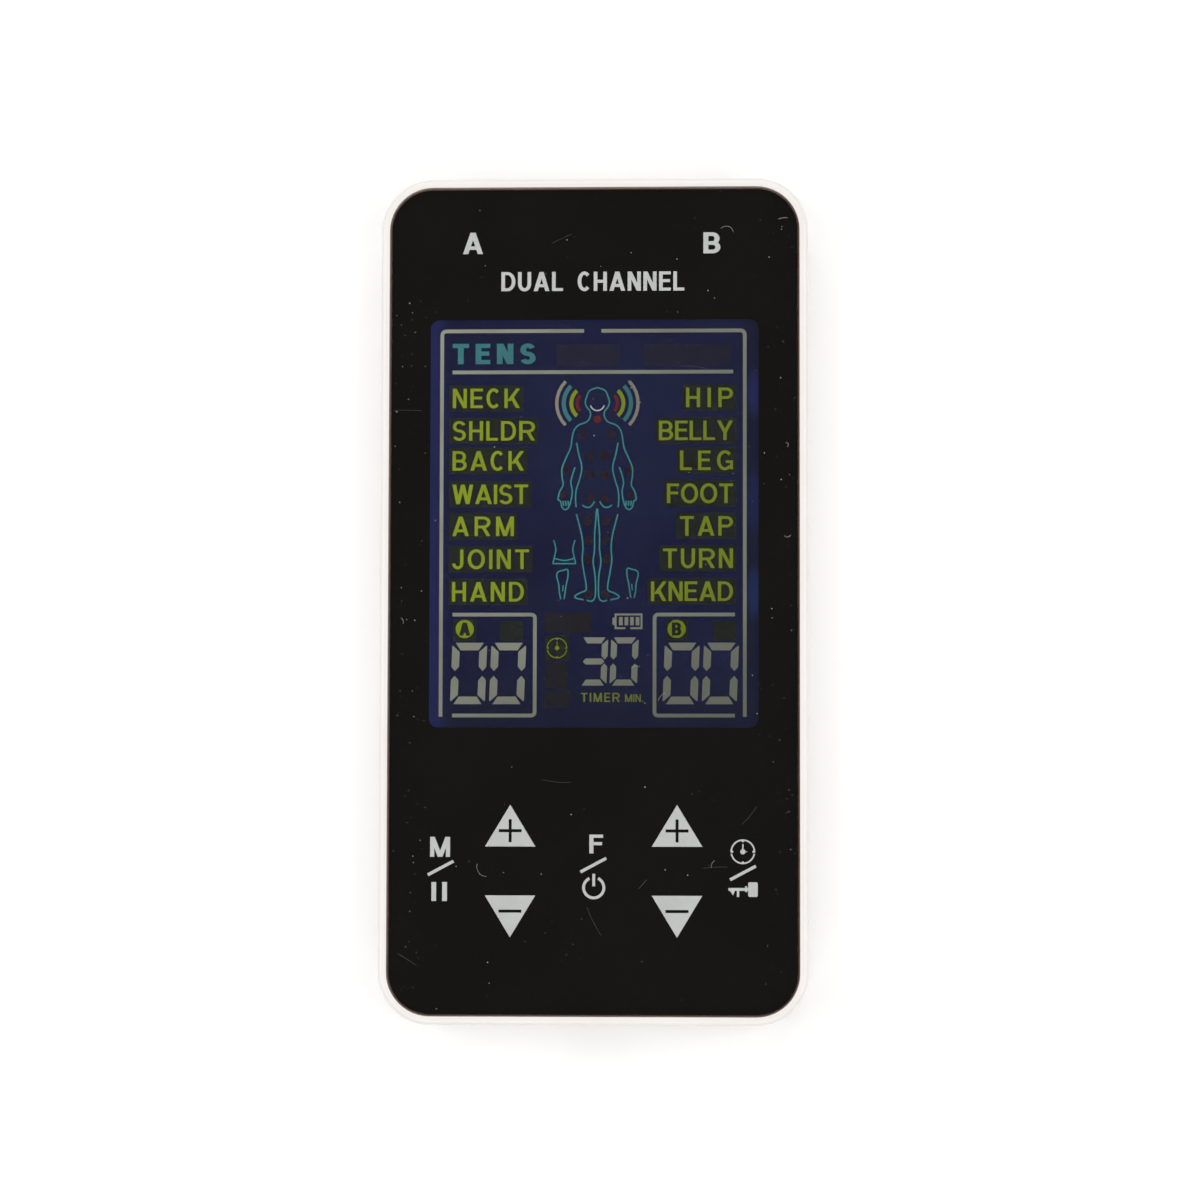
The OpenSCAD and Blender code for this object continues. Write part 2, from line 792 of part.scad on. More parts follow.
wire_z = 4.4;
wire_r = 0.45;
plug_x = -20.6;
plug_end_y = -34;
red_route = [[-12, -29.7], [-12, -31], [-12.1, -31.4], [-12.4, -31.8], [-12.9, -32],
    [-18.9, -32], [-19.4, -32.2], [-19.8, -32.6], [-19.9, -33.1], [-19.9, -34]];
black_route = [[-14, -29.7], [-14, -29.9], [-14.1, -30.3], [-14.4, -30.6], [-14.9, -30.8],
    [-20.3, -30.8], [-20.8, -31], [-21.2, -31.4], [-21.3, -31.9], [-21.3, -34]];

// Each lead leaves the pack, turns towards the wall and turns again into the plug.
module battery_wire_red() {
    color("red") level_wire(red_route, wire_z, wire_r);
}

module battery_wire_black() {
    color("black") level_wire(black_route, wire_z, wire_r);
}

plug_w = 3.6;
plug_l = 5;
plug_h = 2;

module battery_plug() {
    color("ivory") block(plug_x, plug_end_y - plug_l / 2, wire_z - plug_h / 2, plug_w, plug_l, plug_h);
}

module battery_socket() {
    side = 0.7;
    low_z = wire_z - plug_h / 2 - 0.5;
    color("white") difference() {
        block(plug_x, plug_end_y - 1 - plug_l / 2, low_z, plug_w + 2 * side, plug_l, board_z - low_z);
        block(plug_x, plug_end_y - plug_l / 2, wire_z - plug_h / 2 - slip / 2,
            plug_w + slip, plug_l + slip, plug_h + slip);
    }
}

// ---- Charging socket ----

// Outline of the socket: wide at the board and tucked in below.
function usb_outline(inset) =
    let (top = usb_top_w / 2 - inset, low = usb_low_w / 2 - inset / 2,
         high_z = board_z - inset, knee_z = board_z - usb_h / 2, low_z = board_z - usb_h + inset)
    [[-top, high_z], [top, high_z], [top, knee_z], [low, low_z], [-low, low_z], [-top, knee_z]];

module usb_prism(inset, y0, y1) {
    translate([0, y1, 0]) rotate([90, 0, 0]) linear_extrude(y1 - y0) polygon(usb_outline(inset));
}

module usb_shell() {
    color("silver") difference() {
        usb_prism(0, usb_front_y, usb_back_y);
        usb_prism(usb_skin, usb_front_y - 1, usb_back_y - 0.5);
    }
}

tongue_z = board_z - 1.25;

module usb_tongue() {
    color([0.1, 0.1, 0.1]) {
        usb_prism(usb_skin + eps, usb_back_y - 1.5, usb_back_y - 0.5 - eps);
        block(0, usb_back_y - 3, tongue_z, 3.7, 3.4, 0.6);
    }
}

module usb_contacts() {
    color("gold") for (i = [-2 : 2])
        block(i * 0.65, usb_back_y - 3.1, tongue_z - 0.1, 0.35, 2.8, 0.1);
}

// ---- Jacks, drawn on the middle plane and moved to each side ----

module jack_housing() {
    mid_y = (jack_back_y + jack_front_y) / 2;
    chamber_y = (chamber_back_y + sleeve_back_y) / 2;
    low_z = jack_z - jack_body_h / 2;
    color([0.08, 0.08, 0.08]) difference() {
        union() {
            block(0, mid_y, low_z, jack_body_w, jack_front_y - jack_back_y, jack_body_h);
            jack_rod(jack_nose_r, jack_front_y - eps, jack_nose_y);
        }
        jack_rod(sleeve_r, sleeve_back_y, jack_nose_y + 1);
        block(0, chamber_y, low_z - 1,
            chamber_w, sleeve_back_y - chamber_back_y, jack_body_h + 1 - chamber_roof);
    }
}

module jack_sleeve() {
    color("silver") difference() {
        jack_rod(sleeve_r, sleeve_back_y, jack_nose_y);
        jack_rod(jack_r, sleeve_back_y - 1, jack_nose_y + 1);
    }
}

// The leaf's edge: it runs back and up from its root to the crest, then down to its tail.
// The points are Y and Z on the jack's middle plane.
function leaf_outline() =
    let (root_y = spring_root[0], root_z = spring_root[1],
         crest_y = spring_crest[0], crest_z = spring_crest[1],
         crest_half = 0.3, tail_y = crest_y - spring_tail, tail_z = crest_z - 0.55)
    [[root_y, root_z + spring_t / 2], [root_y, root_z - spring_t / 2],
     [crest_y + crest_half, crest_z - spring_t], [crest_y - crest_half, crest_z - spring_t],
     [tail_y, tail_z], [tail_y, tail_z + spring_t],
     [crest_y - crest_half, crest_z], [crest_y + crest_half, crest_z]];

// A tab on the tail reaches to one side, under the switch contact.
module jack_tip_spring() {
    color("goldenrod") {
        translate([spring_w / 2, 0, 0]) rotate([90, 0, -90])
            linear_extrude(spring_w) mirror([1, 0]) polygon(leaf_outline());
        block(1.15, spring_crest[0] - spring_tail + 0.3, spring_crest[1] - 0.48, 1, 0.5, spring_t);
    }
}

// A fixed blade that the spring's tab lies under until a plug pushes the spring away.
module jack_switch_contact() {
    color("goldenrod") block(1.475, chamber_back_y + 0.9, spring_crest[1] - 0.2, 0.85, 1.8, 0.15);
}

// Solder tabs beside the board's notch, and the strap that the tip spring bends from.
module jack_lugs() {
    color("silver") {
        for (side = [-1, 1], y = lug_places)
            block(side * (jack_body_w / 2 + 0.7), y, board_top, 1.4, 1.6, 0.2);
        block(0, (spring_root[0] + slip + sleeve_back_y) / 2, spring_root[1] - spring_t / 2,
            spring_w, sleeve_back_y - spring_root[0] - slip, spring_t);
    }
}

module jack_a_housing() { translate([-jack_x, 0, 0]) jack_housing(); }
module jack_b_housing() { translate([jack_x, 0, 0]) jack_housing(); }
module jack_a_sleeve() { translate([-jack_x, 0, 0]) jack_sleeve(); }
module jack_b_sleeve() { translate([jack_x, 0, 0]) jack_sleeve(); }
module jack_a_tip_spring() { translate([-jack_x, 0, 0]) jack_tip_spring(); }
module jack_b_tip_spring() { translate([jack_x, 0, 0]) jack_tip_spring(); }
module jack_a_switch_contact() { translate([-jack_x, 0, 0]) jack_switch_contact(); }
module jack_b_switch_contact() { translate([jack_x, 0, 0]) jack_switch_contact(); }
module jack_a_lugs() { translate([-jack_x, 0, 0]) jack_lugs(); }
module jack_b_lugs() { translate([jack_x, 0, 0]) jack_lugs(); }

// ---- One line for each node ----

rear_shell();
front_frame();
front_lens();
print_film();
key_symbols();
window_tint();
lens_gasket();
lcd_front_polarizer();
lcd_front_glass();
lcd_rear_glass();
lcd_rear_polarizer();
lcd_pins();
backlight_frame();
light_guide();
diffuser_sheet();
reflector_sheet();
backlight_leds();
main_board();
touch_pads();
touch_springs();
controller_chip();
touch_chip();
charge_chip();
board_resistors();
board_capacitors();
output_transistors();
transformer_a_core();
transformer_a_bobbin();
transformer_a_winding();
transformer_b_core();
transformer_b_bobbin();
transformer_b_winding();
boost_inductor_core();
boost_inductor_winding();
reservoir_capacitor();
buzzer();
battery_cell();
battery_tape();
battery_board();
battery_foam();
battery_wire_red();
battery_wire_black();
battery_plug();
battery_socket();
usb_shell();
usb_tongue();
usb_contacts();
jack_a_housing();
jack_a_sleeve();
jack_a_tip_spring();
jack_a_switch_contact();
jack_a_lugs();
jack_b_housing();
jack_b_sleeve();
jack_b_tip_spring();
jack_b_switch_contact();
jack_b_lugs();
case_screws();
board_screws();
rating_label();
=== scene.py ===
import math
import random

import bpy
from mathutils import Matrix, Vector
from mathutils.geometry import delaunay_2d_cdt


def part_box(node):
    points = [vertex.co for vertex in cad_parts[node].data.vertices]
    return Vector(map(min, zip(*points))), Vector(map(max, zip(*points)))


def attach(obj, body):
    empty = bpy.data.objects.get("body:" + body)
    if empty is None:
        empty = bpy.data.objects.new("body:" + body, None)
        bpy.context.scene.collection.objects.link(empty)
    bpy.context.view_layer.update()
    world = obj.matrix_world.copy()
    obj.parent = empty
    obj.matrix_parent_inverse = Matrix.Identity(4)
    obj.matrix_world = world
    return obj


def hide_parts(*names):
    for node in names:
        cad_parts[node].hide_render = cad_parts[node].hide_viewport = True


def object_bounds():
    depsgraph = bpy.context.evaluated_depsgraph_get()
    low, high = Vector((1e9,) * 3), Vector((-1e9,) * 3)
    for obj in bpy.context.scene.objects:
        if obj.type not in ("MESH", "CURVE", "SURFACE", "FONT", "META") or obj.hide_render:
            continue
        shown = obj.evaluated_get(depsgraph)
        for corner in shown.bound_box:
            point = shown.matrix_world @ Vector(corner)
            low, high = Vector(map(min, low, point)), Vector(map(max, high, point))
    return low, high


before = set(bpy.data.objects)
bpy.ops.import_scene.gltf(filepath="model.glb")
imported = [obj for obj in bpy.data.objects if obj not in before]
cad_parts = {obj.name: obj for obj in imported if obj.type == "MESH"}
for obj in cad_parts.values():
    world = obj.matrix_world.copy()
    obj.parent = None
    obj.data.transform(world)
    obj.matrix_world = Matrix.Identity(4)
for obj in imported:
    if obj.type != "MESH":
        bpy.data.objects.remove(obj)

# A two-channel TENS unit on its back. Plan shapes are drawn in millimetres, X across and Y towards the
# jacks, with the case's middle at the origin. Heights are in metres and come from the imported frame.
MM = 0.001
BODY = "unit"
ARC_STEP = 12            # degrees between the points of an arc
cad_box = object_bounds()

lens_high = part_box("front_lens")[1]
ink_low, ink_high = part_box("key_symbols")
window_low, window_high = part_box("window_tint")
display_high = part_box("lcd_front_polarizer")[1]
label_low, label_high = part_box("rating_label")
film_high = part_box("print_film")[1]

# Bottom and top of each thin layer.
SHADE_Z = (display_high.z + 0.01 * MM, display_high.z + 0.02 * MM)
GRAPHIC_Z = (display_high.z + 0.03 * MM, display_high.z + 0.05 * MM)
INK_Z = (ink_low.z, ink_high.z)


# ---- Plan outlines, in millimetres ----

def rect(x0, y0, x1, y1):
    """An upright rectangle between two opposite corners."""
    return [(x0, y0), (x1, y0), (x1, y1), (x0, y1)]


def slant(x0, y0, x1, y1, width):
    """A leaning stroke with level ends, whose left edge runs from (x0, y0) to (x1, y1)."""
    return [(x0, y0), (x0 + width, y0), (x1 + width, y1), (x1, y1)]


def arc(cx, cy, rx, ry, start, end):
    """Points along part of an oval, from start to end in degrees."""
    steps = max(2, math.ceil(abs(end - start) / ARC_STEP))
    angles = [math.radians(start + (end - start) * i / steps) for i in range(steps + 1)]
    return [(cx + rx * math.cos(a), cy + ry * math.sin(a)) for a in angles]


def band(cx, cy, rx, ry, tx, ty, start, end):
    """Part of an oval ring, tx thick across and ty thick at its top and bottom."""
    return arc(cx, cy, rx, ry, start, end) + arc(cx, cy, rx - tx, ry - ty, end, start)


def disc(cx, cy, r):
    """A full circle."""
    return arc(cx, cy, r, r, 0, 360)[:-1]


def round_rect(x0, y0, x1, y1, r):
    """A rectangle with corners of radius r."""
    return (arc(x1 - r, y1 - r, r, r, 0, 90) + arc(x0 + r, y1 - r, r, r, 90, 180)
            + arc(x0 + r, y0 + r, r, r, 180, 270) + arc(x1 - r, y0 + r, r, r, 270, 360))


def ribbon(points, width):
    """A line of even width along points, with square ends."""
    left, right = [], []
    last = len(points) - 1
    for i, point in enumerate(points):
        before = Vector(points[max(i - 1, 0)])
        after = Vector(points[min(i + 1, last)])
        along = (after - before).normalized()
        side = Vector((-along.y, along.x)) * width / 2
        left.append(tuple(Vector(point) + side))
        right.append(tuple(Vector(point) - side))
    return left + right[::-1]


def bend(points, r):
    """The same path with its square corners rounded to radius r."""
    path = [points[0]]
    for before, corner, after in zip(points, points[1:], points[2:]):
        corner = Vector(corner)
        in_way = (corner - Vector(before)).normalized()
        out_way = (Vector(after) - corner).normalized()
        centre = corner - in_way * r + out_way * r
        for step in range(6):
            turn = math.radians(18 * step)
            path.append(tuple(centre - out_way * r * math.cos(turn) + in_way * r * math.sin(turn)))
    return path + [points[-1]]


def smooth(points, steps=5):
    """A smooth curve through the points."""
    ends = [points[0]] + list(points) + [points[-1]]
    path = []
    for p0, p1, p2, p3 in zip(ends, ends[1:], ends[2:], ends[3:]):
        p0, p1, p2, p3 = Vector(p0), Vector(p1), Vector(p2), Vector(p3)
        for step in range(steps):
            t = step / steps
            path.append(tuple(0.5 * (2 * p1 + (p2 - p0) * t + (2 * p0 - 5 * p1 + 4 * p2 - p3) * t * t
                                     + (3 * p1 - 3 * p2 + p3 - p0) * t ** 3)))
    return path + [tuple(points[-1])]


def moved(outlines, dx, dy, scale=1.0):
    """The outlines scaled about the origin and then shifted."""
    return [[(dx + x * scale, dy + y * scale) for x, y in outline] for outline in outlines]


def flipped(points, axis_x):
    """The mirror image of a path or outline across the upright line at axis_x."""
    return [(2 * axis_x - x, y) for x, y in points]


def area(outline):
    """The area of an outline, positive where it runs anticlockwise."""
    pairs = zip(outline, outline[1:] + outline[:1])
    return sum(a[0] * b[1] - a[1] * b[0] for a, b in pairs) / 2


# ---- Letters and digits ----

GLYPH_WIDTH = {"A": 0.86, "B": 0.73, "C": 0.74, "D": 0.77, "E": 0.64, "F": 0.62, "G": 0.82, "H": 0.72,
               "I": 0.19, "J": 0.58, "K": 0.8, "L": 0.6, "M": 0.92, "N": 0.72, "O": 0.88, "P": 0.75,
               "R": 0.81, "S": 0.68, "T": 0.71, "U": 0.72, "W": 1.07, "Y": 0.82, ".": 0.19}


def letter_outlines(letter, w, s, b):
    """Strokes of a capital or full stop of height 1 and width w, with stems s and bars b thick."""
    d = 1.12 * s                 # a leaning stroke, measured level
    half = w / 2
    mid = 0.5 - b / 2
    left_stem = rect(0, 0, s, 1)
    right_stem = rect(w - s, 0, w, 1)
    if letter == "A":
        bar_x = (half - d / 2) * (0.22 + b) + 0.3 * d
        return [slant(0, 0, half - d / 2, 1, d), slant(w - d, 0, half - d / 2, 1, d),
                rect(bar_x, 0.2, w - bar_x, 0.2 + b)]
    if letter == "B":
        low_ry = (0.49 + b / 2) / 2
        high_ry = (0.51 + b / 2) / 2
        low_r, high_r = 0.46 * w, 0.42 * w
        return [left_stem, rect(0, 0, w - low_r, b), rect(0, 1 - b, 0.95 * w - high_r, 1),
                rect(0, 2 * low_ry - b, 0.95 * w - high_r, 2 * low_ry),
                band(w - low_r, low_ry, low_r, low_ry, s, b, -90, 90),
                band(0.95 * w - high_r, 1 - high_ry, high_r, high_ry, s, b, -90, 90)]
    if letter == "C":
        return [band(half, 0.5, half, 0.515, s, 1.1 * b, 45, 315)]
    if letter == "D":
        r = 0.56 * w
        return [left_stem, rect(0, 0, w - r, b), rect(0, 1 - b, w - r, 1),
                band(w - r, 0.5, r, 0.5, s, b, -90, 90)]
    if letter in "EF":
        bars = [rect(0, 1 - b, w, 1), rect(0, mid + 0.02, 0.93 * w, mid + 0.02 + b)]
        return [left_stem] + bars + ([rect(0, 0, w, b)] if letter == "E" else [])
    if letter == "G":
        return [band(half, 0.5, half, 0.515, s, 1.1 * b, 42, 318), rect(w - 0.9 * s, 0.04, w, 0.5),
                rect(0.55 * w, 0.5 - b, w, 0.5)]
    if letter == "H":
        return [left_stem, right_stem, rect(0, mid, w, mid + b)]
    if letter == "I":
        return [rect(0, 0, w, 1)]
    if letter == "J":
        return [rect(w - s, 0.3, w, 1), band(half, 0.3, half, 0.315, s, 1.1 * b, 185, 360)]
    if letter == "K":
        arm_x = w - 1.05 * d
        meet_x = 0.8 * s + 0.31 * (arm_x - 0.8 * s)
        return [left_stem, slant(0.8 * s, 0.36, arm_x, 1, 1.05 * d),
                slant(w - 1.1 * d, 0, meet_x, 0.56, 1.05 * d)]
    if letter == "L":
        return [left_stem, rect(0, 0, w, b)]
    if letter == "M":
        return [left_stem, right_stem, slant(half - d / 2, 0, 0, 1, d), slant(half - d / 2, 0, w - d, 1, d)]
    if letter == "N":
        return [left_stem, right_stem, slant(w - d, 0, 0, 1, d)]
    if letter == "O":
        return [band(half, 0.5, half, 0.515, s, 1.1 * b, start, start + 180) for start in (90, 270)]
    if letter in "PR":
        foot = 0.42 if letter == "P" else 0.4
        ry = (1 - foot) / 2
        r = 0.44 * w
        bowl = [left_stem, rect(0, 1 - b, w - r, 1), rect(0, foot, w - r, foot + b),
                band(w - r, 1 - ry, r, ry, s, b, -90, 90)]
        return bowl + ([slant(w - d, 0, 0.42 * w, foot + b / 2, d)] if letter == "R" else [])
    if letter == "S":
        ry = 0.255 + b / 4
        return [band(half, 1.01 - ry, 0.97 * half, ry, s, b, 22, 270),
                band(half, ry - 0.01, half, ry, s, b, -158, 90)]
    if letter == "T":
        return [rect(0, 1 - b, w, 1), rect(half - s / 2, 0, half + s / 2, 1)]
    if letter == "U":
        return [rect(0, 0.38, s, 1), rect(w - s, 0.38, w, 1),
                band(half, 0.38, half, 0.395, s, 1.1 * b, 180, 360)]
    if letter == "W":
        q = 0.27 * w - d / 2
        return [slant(q, 0, 0, 1, d), slant(q, 0, half - d / 2, 1, d),
                slant(w - q - d, 0, half - d / 2, 1, d), slant(w - q - d, 0, w - d, 1, d)]
    if letter == "Y":
        return [slant(half - d / 2, 0.4, 0, 1, d), slant(half - d / 2, 0.4, w - d, 1, d),
                rect(half - s / 2, 0, half + s / 2, 0.42)]
    return [rect(0, 0, s, s)]


def word(text, left, right, base, height, stem=0.17, bar=0.138, wide=1.0):
    """A word in capitals that fills left to right, with even gaps. A single letter stands in the middle."""
    widths = [GLYPH_WIDTH[c] * wide if c not in "I." else stem for c in text]
    spare = (right - left) / height - sum(widths)
    gap = spare / (len(text) - 1) if len(text) > 1 else 0
    x = spare / 2 if len(text) == 1 else 0
    outlines = []
    for letter, w in zip(text, widths):
        strokes = letter_outlines(letter, w, stem, bar)
        outlines += moved(strokes, left + x * height, base, height)
        x += w + gap
    return outlines


DIGIT_SEGMENTS = {"0": "abcdef", "3": "abcdg"}
DIGIT_LEAN = 0.037           # sideways, for each unit of height


def digit(figure, x, y, w, h, t):
    """A seven-segment digit, w by h with strokes t thick, standing on (x, y) and leaning right."""
    mid = h / 2
    level = [(0.45 * t, h), (w - 0.45 * t, h), (w - 1.1 * t, h - t), (1.1 * t, h - t)]
    upright = [(0, mid + 0.86 * t), (0.47 * t, mid + 0.31 * t), (t, mid + 0.9 * t), (t, h - 1.2 * t),
               (0.12 * t, h - 0.4 * t), (0, h - 0.46 * t)]
    middle = [(0.5 * t, mid), (0.95 * t, mid - t / 2), (w - 0.95 * t, mid - t / 2), (w - 0.5 * t, mid),
              (w - 0.95 * t, mid + t / 2), (0.95 * t, mid + t / 2)]
    over = [(px, h - py) for px, py in upright]
    shapes = {"a": level, "b": flipped(upright, w / 2), "c": flipped(over, w / 2),
              "d": [(px, h - py) for px, py in level], "e": over, "f": upright, "g": middle}
    return [[(x + px + DIGIT_LEAN * py, y + py) for px, py in shapes[name]]
            for name in DIGIT_SEGMENTS[figure]]


# ---- Meshes ----

def add_mesh(name, points, faces, material, body=BODY):
    """A piece made of points, in metres, and faces. It rides on body, and slot may be None."""
    mesh = bpy.data.meshes.new(name)
    mesh.from_pydata(points, [], faces)
    mesh.materials.append(material)
    mesh.validate()
    mesh.update()
    piece = bpy.data.objects.new(name, mesh)
    bpy.context.scene.collection.objects.link(piece)
    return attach(piece, body)


def flat_piece(name, shapes, levels, material, cuts=()):
    """One closed thin solid: the union of the outlines in shapes less the cuts, between two levels."""
    corners, loops = [], []
    for outline in list(shapes) + list(cuts):
        outline = outline if area(outline) > 0 else outline[::-1]
        loops.append(list(range(len(corners), len(corners) + len(outline))))
        corners += [Vector(p) for p in outline]
    found, _, triangles, _, _, sources = delaunay_2d_cdt(corners, [], loops, 1, 1e-5)
    kept = [t for t, ids in zip(triangles, sources) if ids and max(ids) < len(shapes)]
    used = sorted({i for t in kept for i in t})
    place = {old: new for new, old in enumerate(used)}
    low = [(found[i].x * MM, found[i].y * MM, levels[0]) for i in used]
    high = [(x, y, levels[1]) for x, y, _ in low]
    kept = [[place[i] for i in t] for t in kept]
    kept = [t if area([low[i][:2] for i in t]) > 0 else t[::-1] for t in kept]
    edges = {(t[i], t[(i + 1) % len(t)]) for t in kept for i in range(len(t))}
    n = len(used)
    sides = [[a, b, b + n, a + n] for a, b in sorted(edges) if (b, a) not in edges]
    faces = [[i + n for i in t] for t in kept] + [t[::-1] for t in kept] + sides
    return add_mesh(name, low + high, faces, material)


# ---- Materials ----

def screen(red, green, blue):
    """A colour as it looks on a screen, 0 to 255, in the linear numbers that shaders take."""
    parts = [c / 255 for c in (red, green, blue)]
    return tuple(c / 12.92 if c <= 0.04045 else ((c + 0.055) / 1.055) ** 2.4 for c in parts)


WAVE_SCALE = 0.314           # a wave texture's scale for bands 1 unit apart
SEAM_Z = 8 * MM              # where the two halves of the case meet
FILM_CORNER = 6.1 * MM       # corner radius of the print and the lens
LENS_ALPHA = 0.1
TINT_ALPHA = 0.15
# Light crosses both faces of the lens and of the tint, and the lens adds its own glare.
SEE_THROUGH = (1 - LENS_ALPHA) ** 2 * (1 - TINT_ALPHA) ** 2
GLARE = screen(22, 21, 20)


def lit(red, green, blue):
    """What a display part gives out so that it looks this colour through the tint and the lens."""
    return tuple(max(c - g, 0.0) / SEE_THROUGH for c, g in zip(screen(red, green, blue), GLARE))


# Glows beside the right edge of the display: middle Y and half length in millimetres, and colour.
DISPLAY_GLOWS = [(29.5, 4.0, lit(36, 38, 76)), (14.0, 5.5, lit(32, 37, 68)), (1.0, 4.5, lit(33, 43, 76))]


class Surface:
    """A material with one Principled shader, fed by patterns in the object's own coordinates."""

    def __init__(self, name, colour, roughness, metallic=0.0, **fixed):
        self.material = bpy.data.materials.new(name)
        self.material.use_nodes = True
        self.tree = self.material.node_tree
        self.shader = self.tree.nodes["Principled BSDF"]
        self.roughness = roughness
        self.colour = colour
        self.place = self.tree.nodes.new("ShaderNodeTexCoord").outputs["Object"]
        self.shader.inputs["Base Color"].default_value = (*colour, 1)
        self.shader.inputs["Roughness"].default_value = roughness
        self.shader.inputs["Metallic"].default_value = metallic
        for key, value in fixed.items():
            self.shader.inputs[key.replace("_", " ").title().replace("Ior", "IOR")].default_value = value

    def add(self, kind, **inputs):
        """A new shader node, with its inputs set or linked by name."""
        node = self.tree.nodes.new("ShaderNode" + kind)
        for key, value in inputs.items():
            socket = node.inputs[key.replace("_", " ").title()]
            if isinstance(value, bpy.types.NodeSocket):
                self.tree.links.new(value, socket)
            else:
                socket.default_value = value
        return node

    def stretched(self, scale):
        """The object's coordinates, scaled along each axis."""
        node = self.add("Mapping", vector=self.place)
        node.inputs["Scale"].default_value = scale
        return node.outputs["Vector"]

    def noise(self, size_mm, detail=3, stretch=None):
        """A cloudy pattern whose blobs are about size_mm across."""
        vector = self.stretched(stretch) if stretch else self.place
        return self.add("TexNoise", vector=vector, scale=1 / (size_mm * MM), detail=detail).outputs[0]

    def cells(self, size_mm):
        """The distance to the middle of the nearest cell, for cells about size_mm across."""
        return self.add("TexVoronoi", vector=self.place, scale=1 / (size_mm * MM)).outputs["Distance"]

    def waves(self, pitch_mm, axis):
        """Straight bands pitch_mm apart along an axis."""
        node = self.add("TexWave", vector=self.place, scale=WAVE_SCALE / (pitch_mm * MM))
        node.bands_direction = axis
        return node.outputs["Fac"]

    def axis(self, name):
        """One of the object's coordinates, in metres."""
        return self.add("SeparateXYZ", vector=self.place).outputs[name]

    def fade(self, value, low, high, start=0.0, end=1.0):
        """start below low, end above high, and smooth in between."""
        node = self.add("MapRange", value=value, from_min=low, from_max=high, to_min=start, to_max=end)
        node.interpolation_type = "SMOOTHSTEP"
        return node.outputs[0]

    def maths(self, operation, a, b=0.0):
        """An arithmetic step on one or two values, each of them a number or a socket."""
        node = self.tree.nodes.new("ShaderNodeMath")
        node.operation = operation
        for socket, value in zip(node.inputs, (a, b)):
            if isinstance(value, bpy.types.NodeSocket):
                self.tree.links.new(value, socket)
            else:
                socket.default_value = value
        return node.outputs[0]

    def mix(self, share, first, second):
        """A blend of two colours: first where share is 0, and second where it is 1."""
        node = self.tree.nodes.new("ShaderNodeMix")
        node.data_type = "RGBA"
        self.tree.links.new(share, node.inputs[0])
        for socket, value in ((node.inputs[6], first), (node.inputs[7], second)):
            if isinstance(value, bpy.types.NodeSocket):
                self.tree.links.new(value, socket)
            else:
                socket.default_value = (*value, 1)
        return node.outputs[2]

    def feed(self, name, socket):
        """Links a pattern to one of the shader's inputs."""
        self.tree.links.new(socket, self.shader.inputs[name])
        return self

    def bump(self, height, depth_mm):
        """Raises the surface by height, where 1 is depth_mm."""
        node = self.add("Bump", height=height, distance=depth_mm * MM, strength=1.0)
        return self.feed("Normal", node.outputs[0])

    def glow(self, colour):
        """Gives out the colour as light."""
        self.shader.inputs["Emission Strength"].default_value = 1.0
        return self.feed("Emission Color", colour)

    def worn(self, other, size_mm, spread=0.08, depth_mm=0.004, grain_mm=0.5):
        """Cloudy colour between two tones, uneven gloss and a fine grain."""
        cloud = self.fade(self.noise(size_mm), 0.35, 0.65)
        gloss = self.fade(self.noise(size_mm / 3), 0.3, 0.7, self.roughness - spread, self.roughness + spread)
        self.feed("Base Color", self.mix(cloud, self.colour, other))
        self.feed("Roughness", gloss)
        return self.bump(self.noise(grain_mm), depth_mm)


def case_look(name, roughness, grain_mm, grain_depth_mm):
    """White moulding: a little yellowed, with dirt along the seam and faint rubbed marks."""
    look = Surface(name, (0.8, 0.765, 0.742), roughness, ior=1.5)
    cloud = look.fade(look.noise(9), 0.35, 0.65)
    shell = look.mix(cloud, look.colour, (0.785, 0.745, 0.715))
    seam = look.maths("ABSOLUTE", look.maths("SUBTRACT", look.axis("Z"), SEAM_Z))
    dirt = look.maths("MULTIPLY", look.fade(seam, 0.1 * MM, 0.4 * MM, 0.4, 0.0),
                      look.fade(look.noise(4), 0.2, 0.6))
    shell = look.mix(dirt, shell, (0.42, 0.38, 0.34))
    hairs = look.fade(look.noise(0.35, 2, (0.06, 1, 1)), 0.68, 0.74)
    look.feed("Base Color", look.mix(look.maths("MULTIPLY", hairs, 0.1), shell, (0.55, 0.52, 0.49)))
    gloss = look.fade(look.noise(12), 0.3, 0.7, roughness - 0.03, roughness + 0.04)
    look.feed("Roughness", look.maths("ADD", gloss, look.maths("MULTIPLY", hairs, 0.1)))
    return look.bump(look.noise(grain_mm), grain_depth_mm).material


def lens_look():
    """Clear panel with faint finger smears. It is see-through by plain alpha."""
    look = Surface("lens_clear", (0.013, 0.012, 0.0105), 0.035, ior=1.49, alpha=LENS_ALPHA)
    smear = look.fade(look.noise(11, 4, (1, 0.5, 1)), 0.45, 0.7, 0.02, 0.075)
    return look.feed("Roughness", smear).material


def film_look():
    """Black print behind the lens. Its outermost strip is a thin warm brown."""
    look = Surface("print_black", (0.006, 0.0053, 0.0044), 0.09, ior=1.45)
    cloud = look.mix(look.fade(look.noise(14), 0.35, 0.65), look.colour, (0.0072, 0.0064, 0.0054))
    squares = []
    for name, half in (("X", film_high.x), ("Y", film_high.y)):
        past = look.maths("SUBTRACT", look.maths("ABSOLUTE", look.axis(name)), half - FILM_CORNER)
        past = look.maths("MAXIMUM", past, 0.0)
        squares.append(look.maths("MULTIPLY", past, past))
    reach = look.maths("SQRT", look.maths("ADD", *squares))
    edge = look.fade(reach, FILM_CORNER - 0.22 * MM, FILM_CORNER - 0.04 * MM)
    look.feed("Base Color", look.mix(edge, cloud, (0.2, 0.105, 0.07)))
    look.feed("Roughness", look.fade(look.noise(5), 0.3, 0.7, 0.06, 0.12))
    return look.bump(look.noise(0.8), 0.001).material


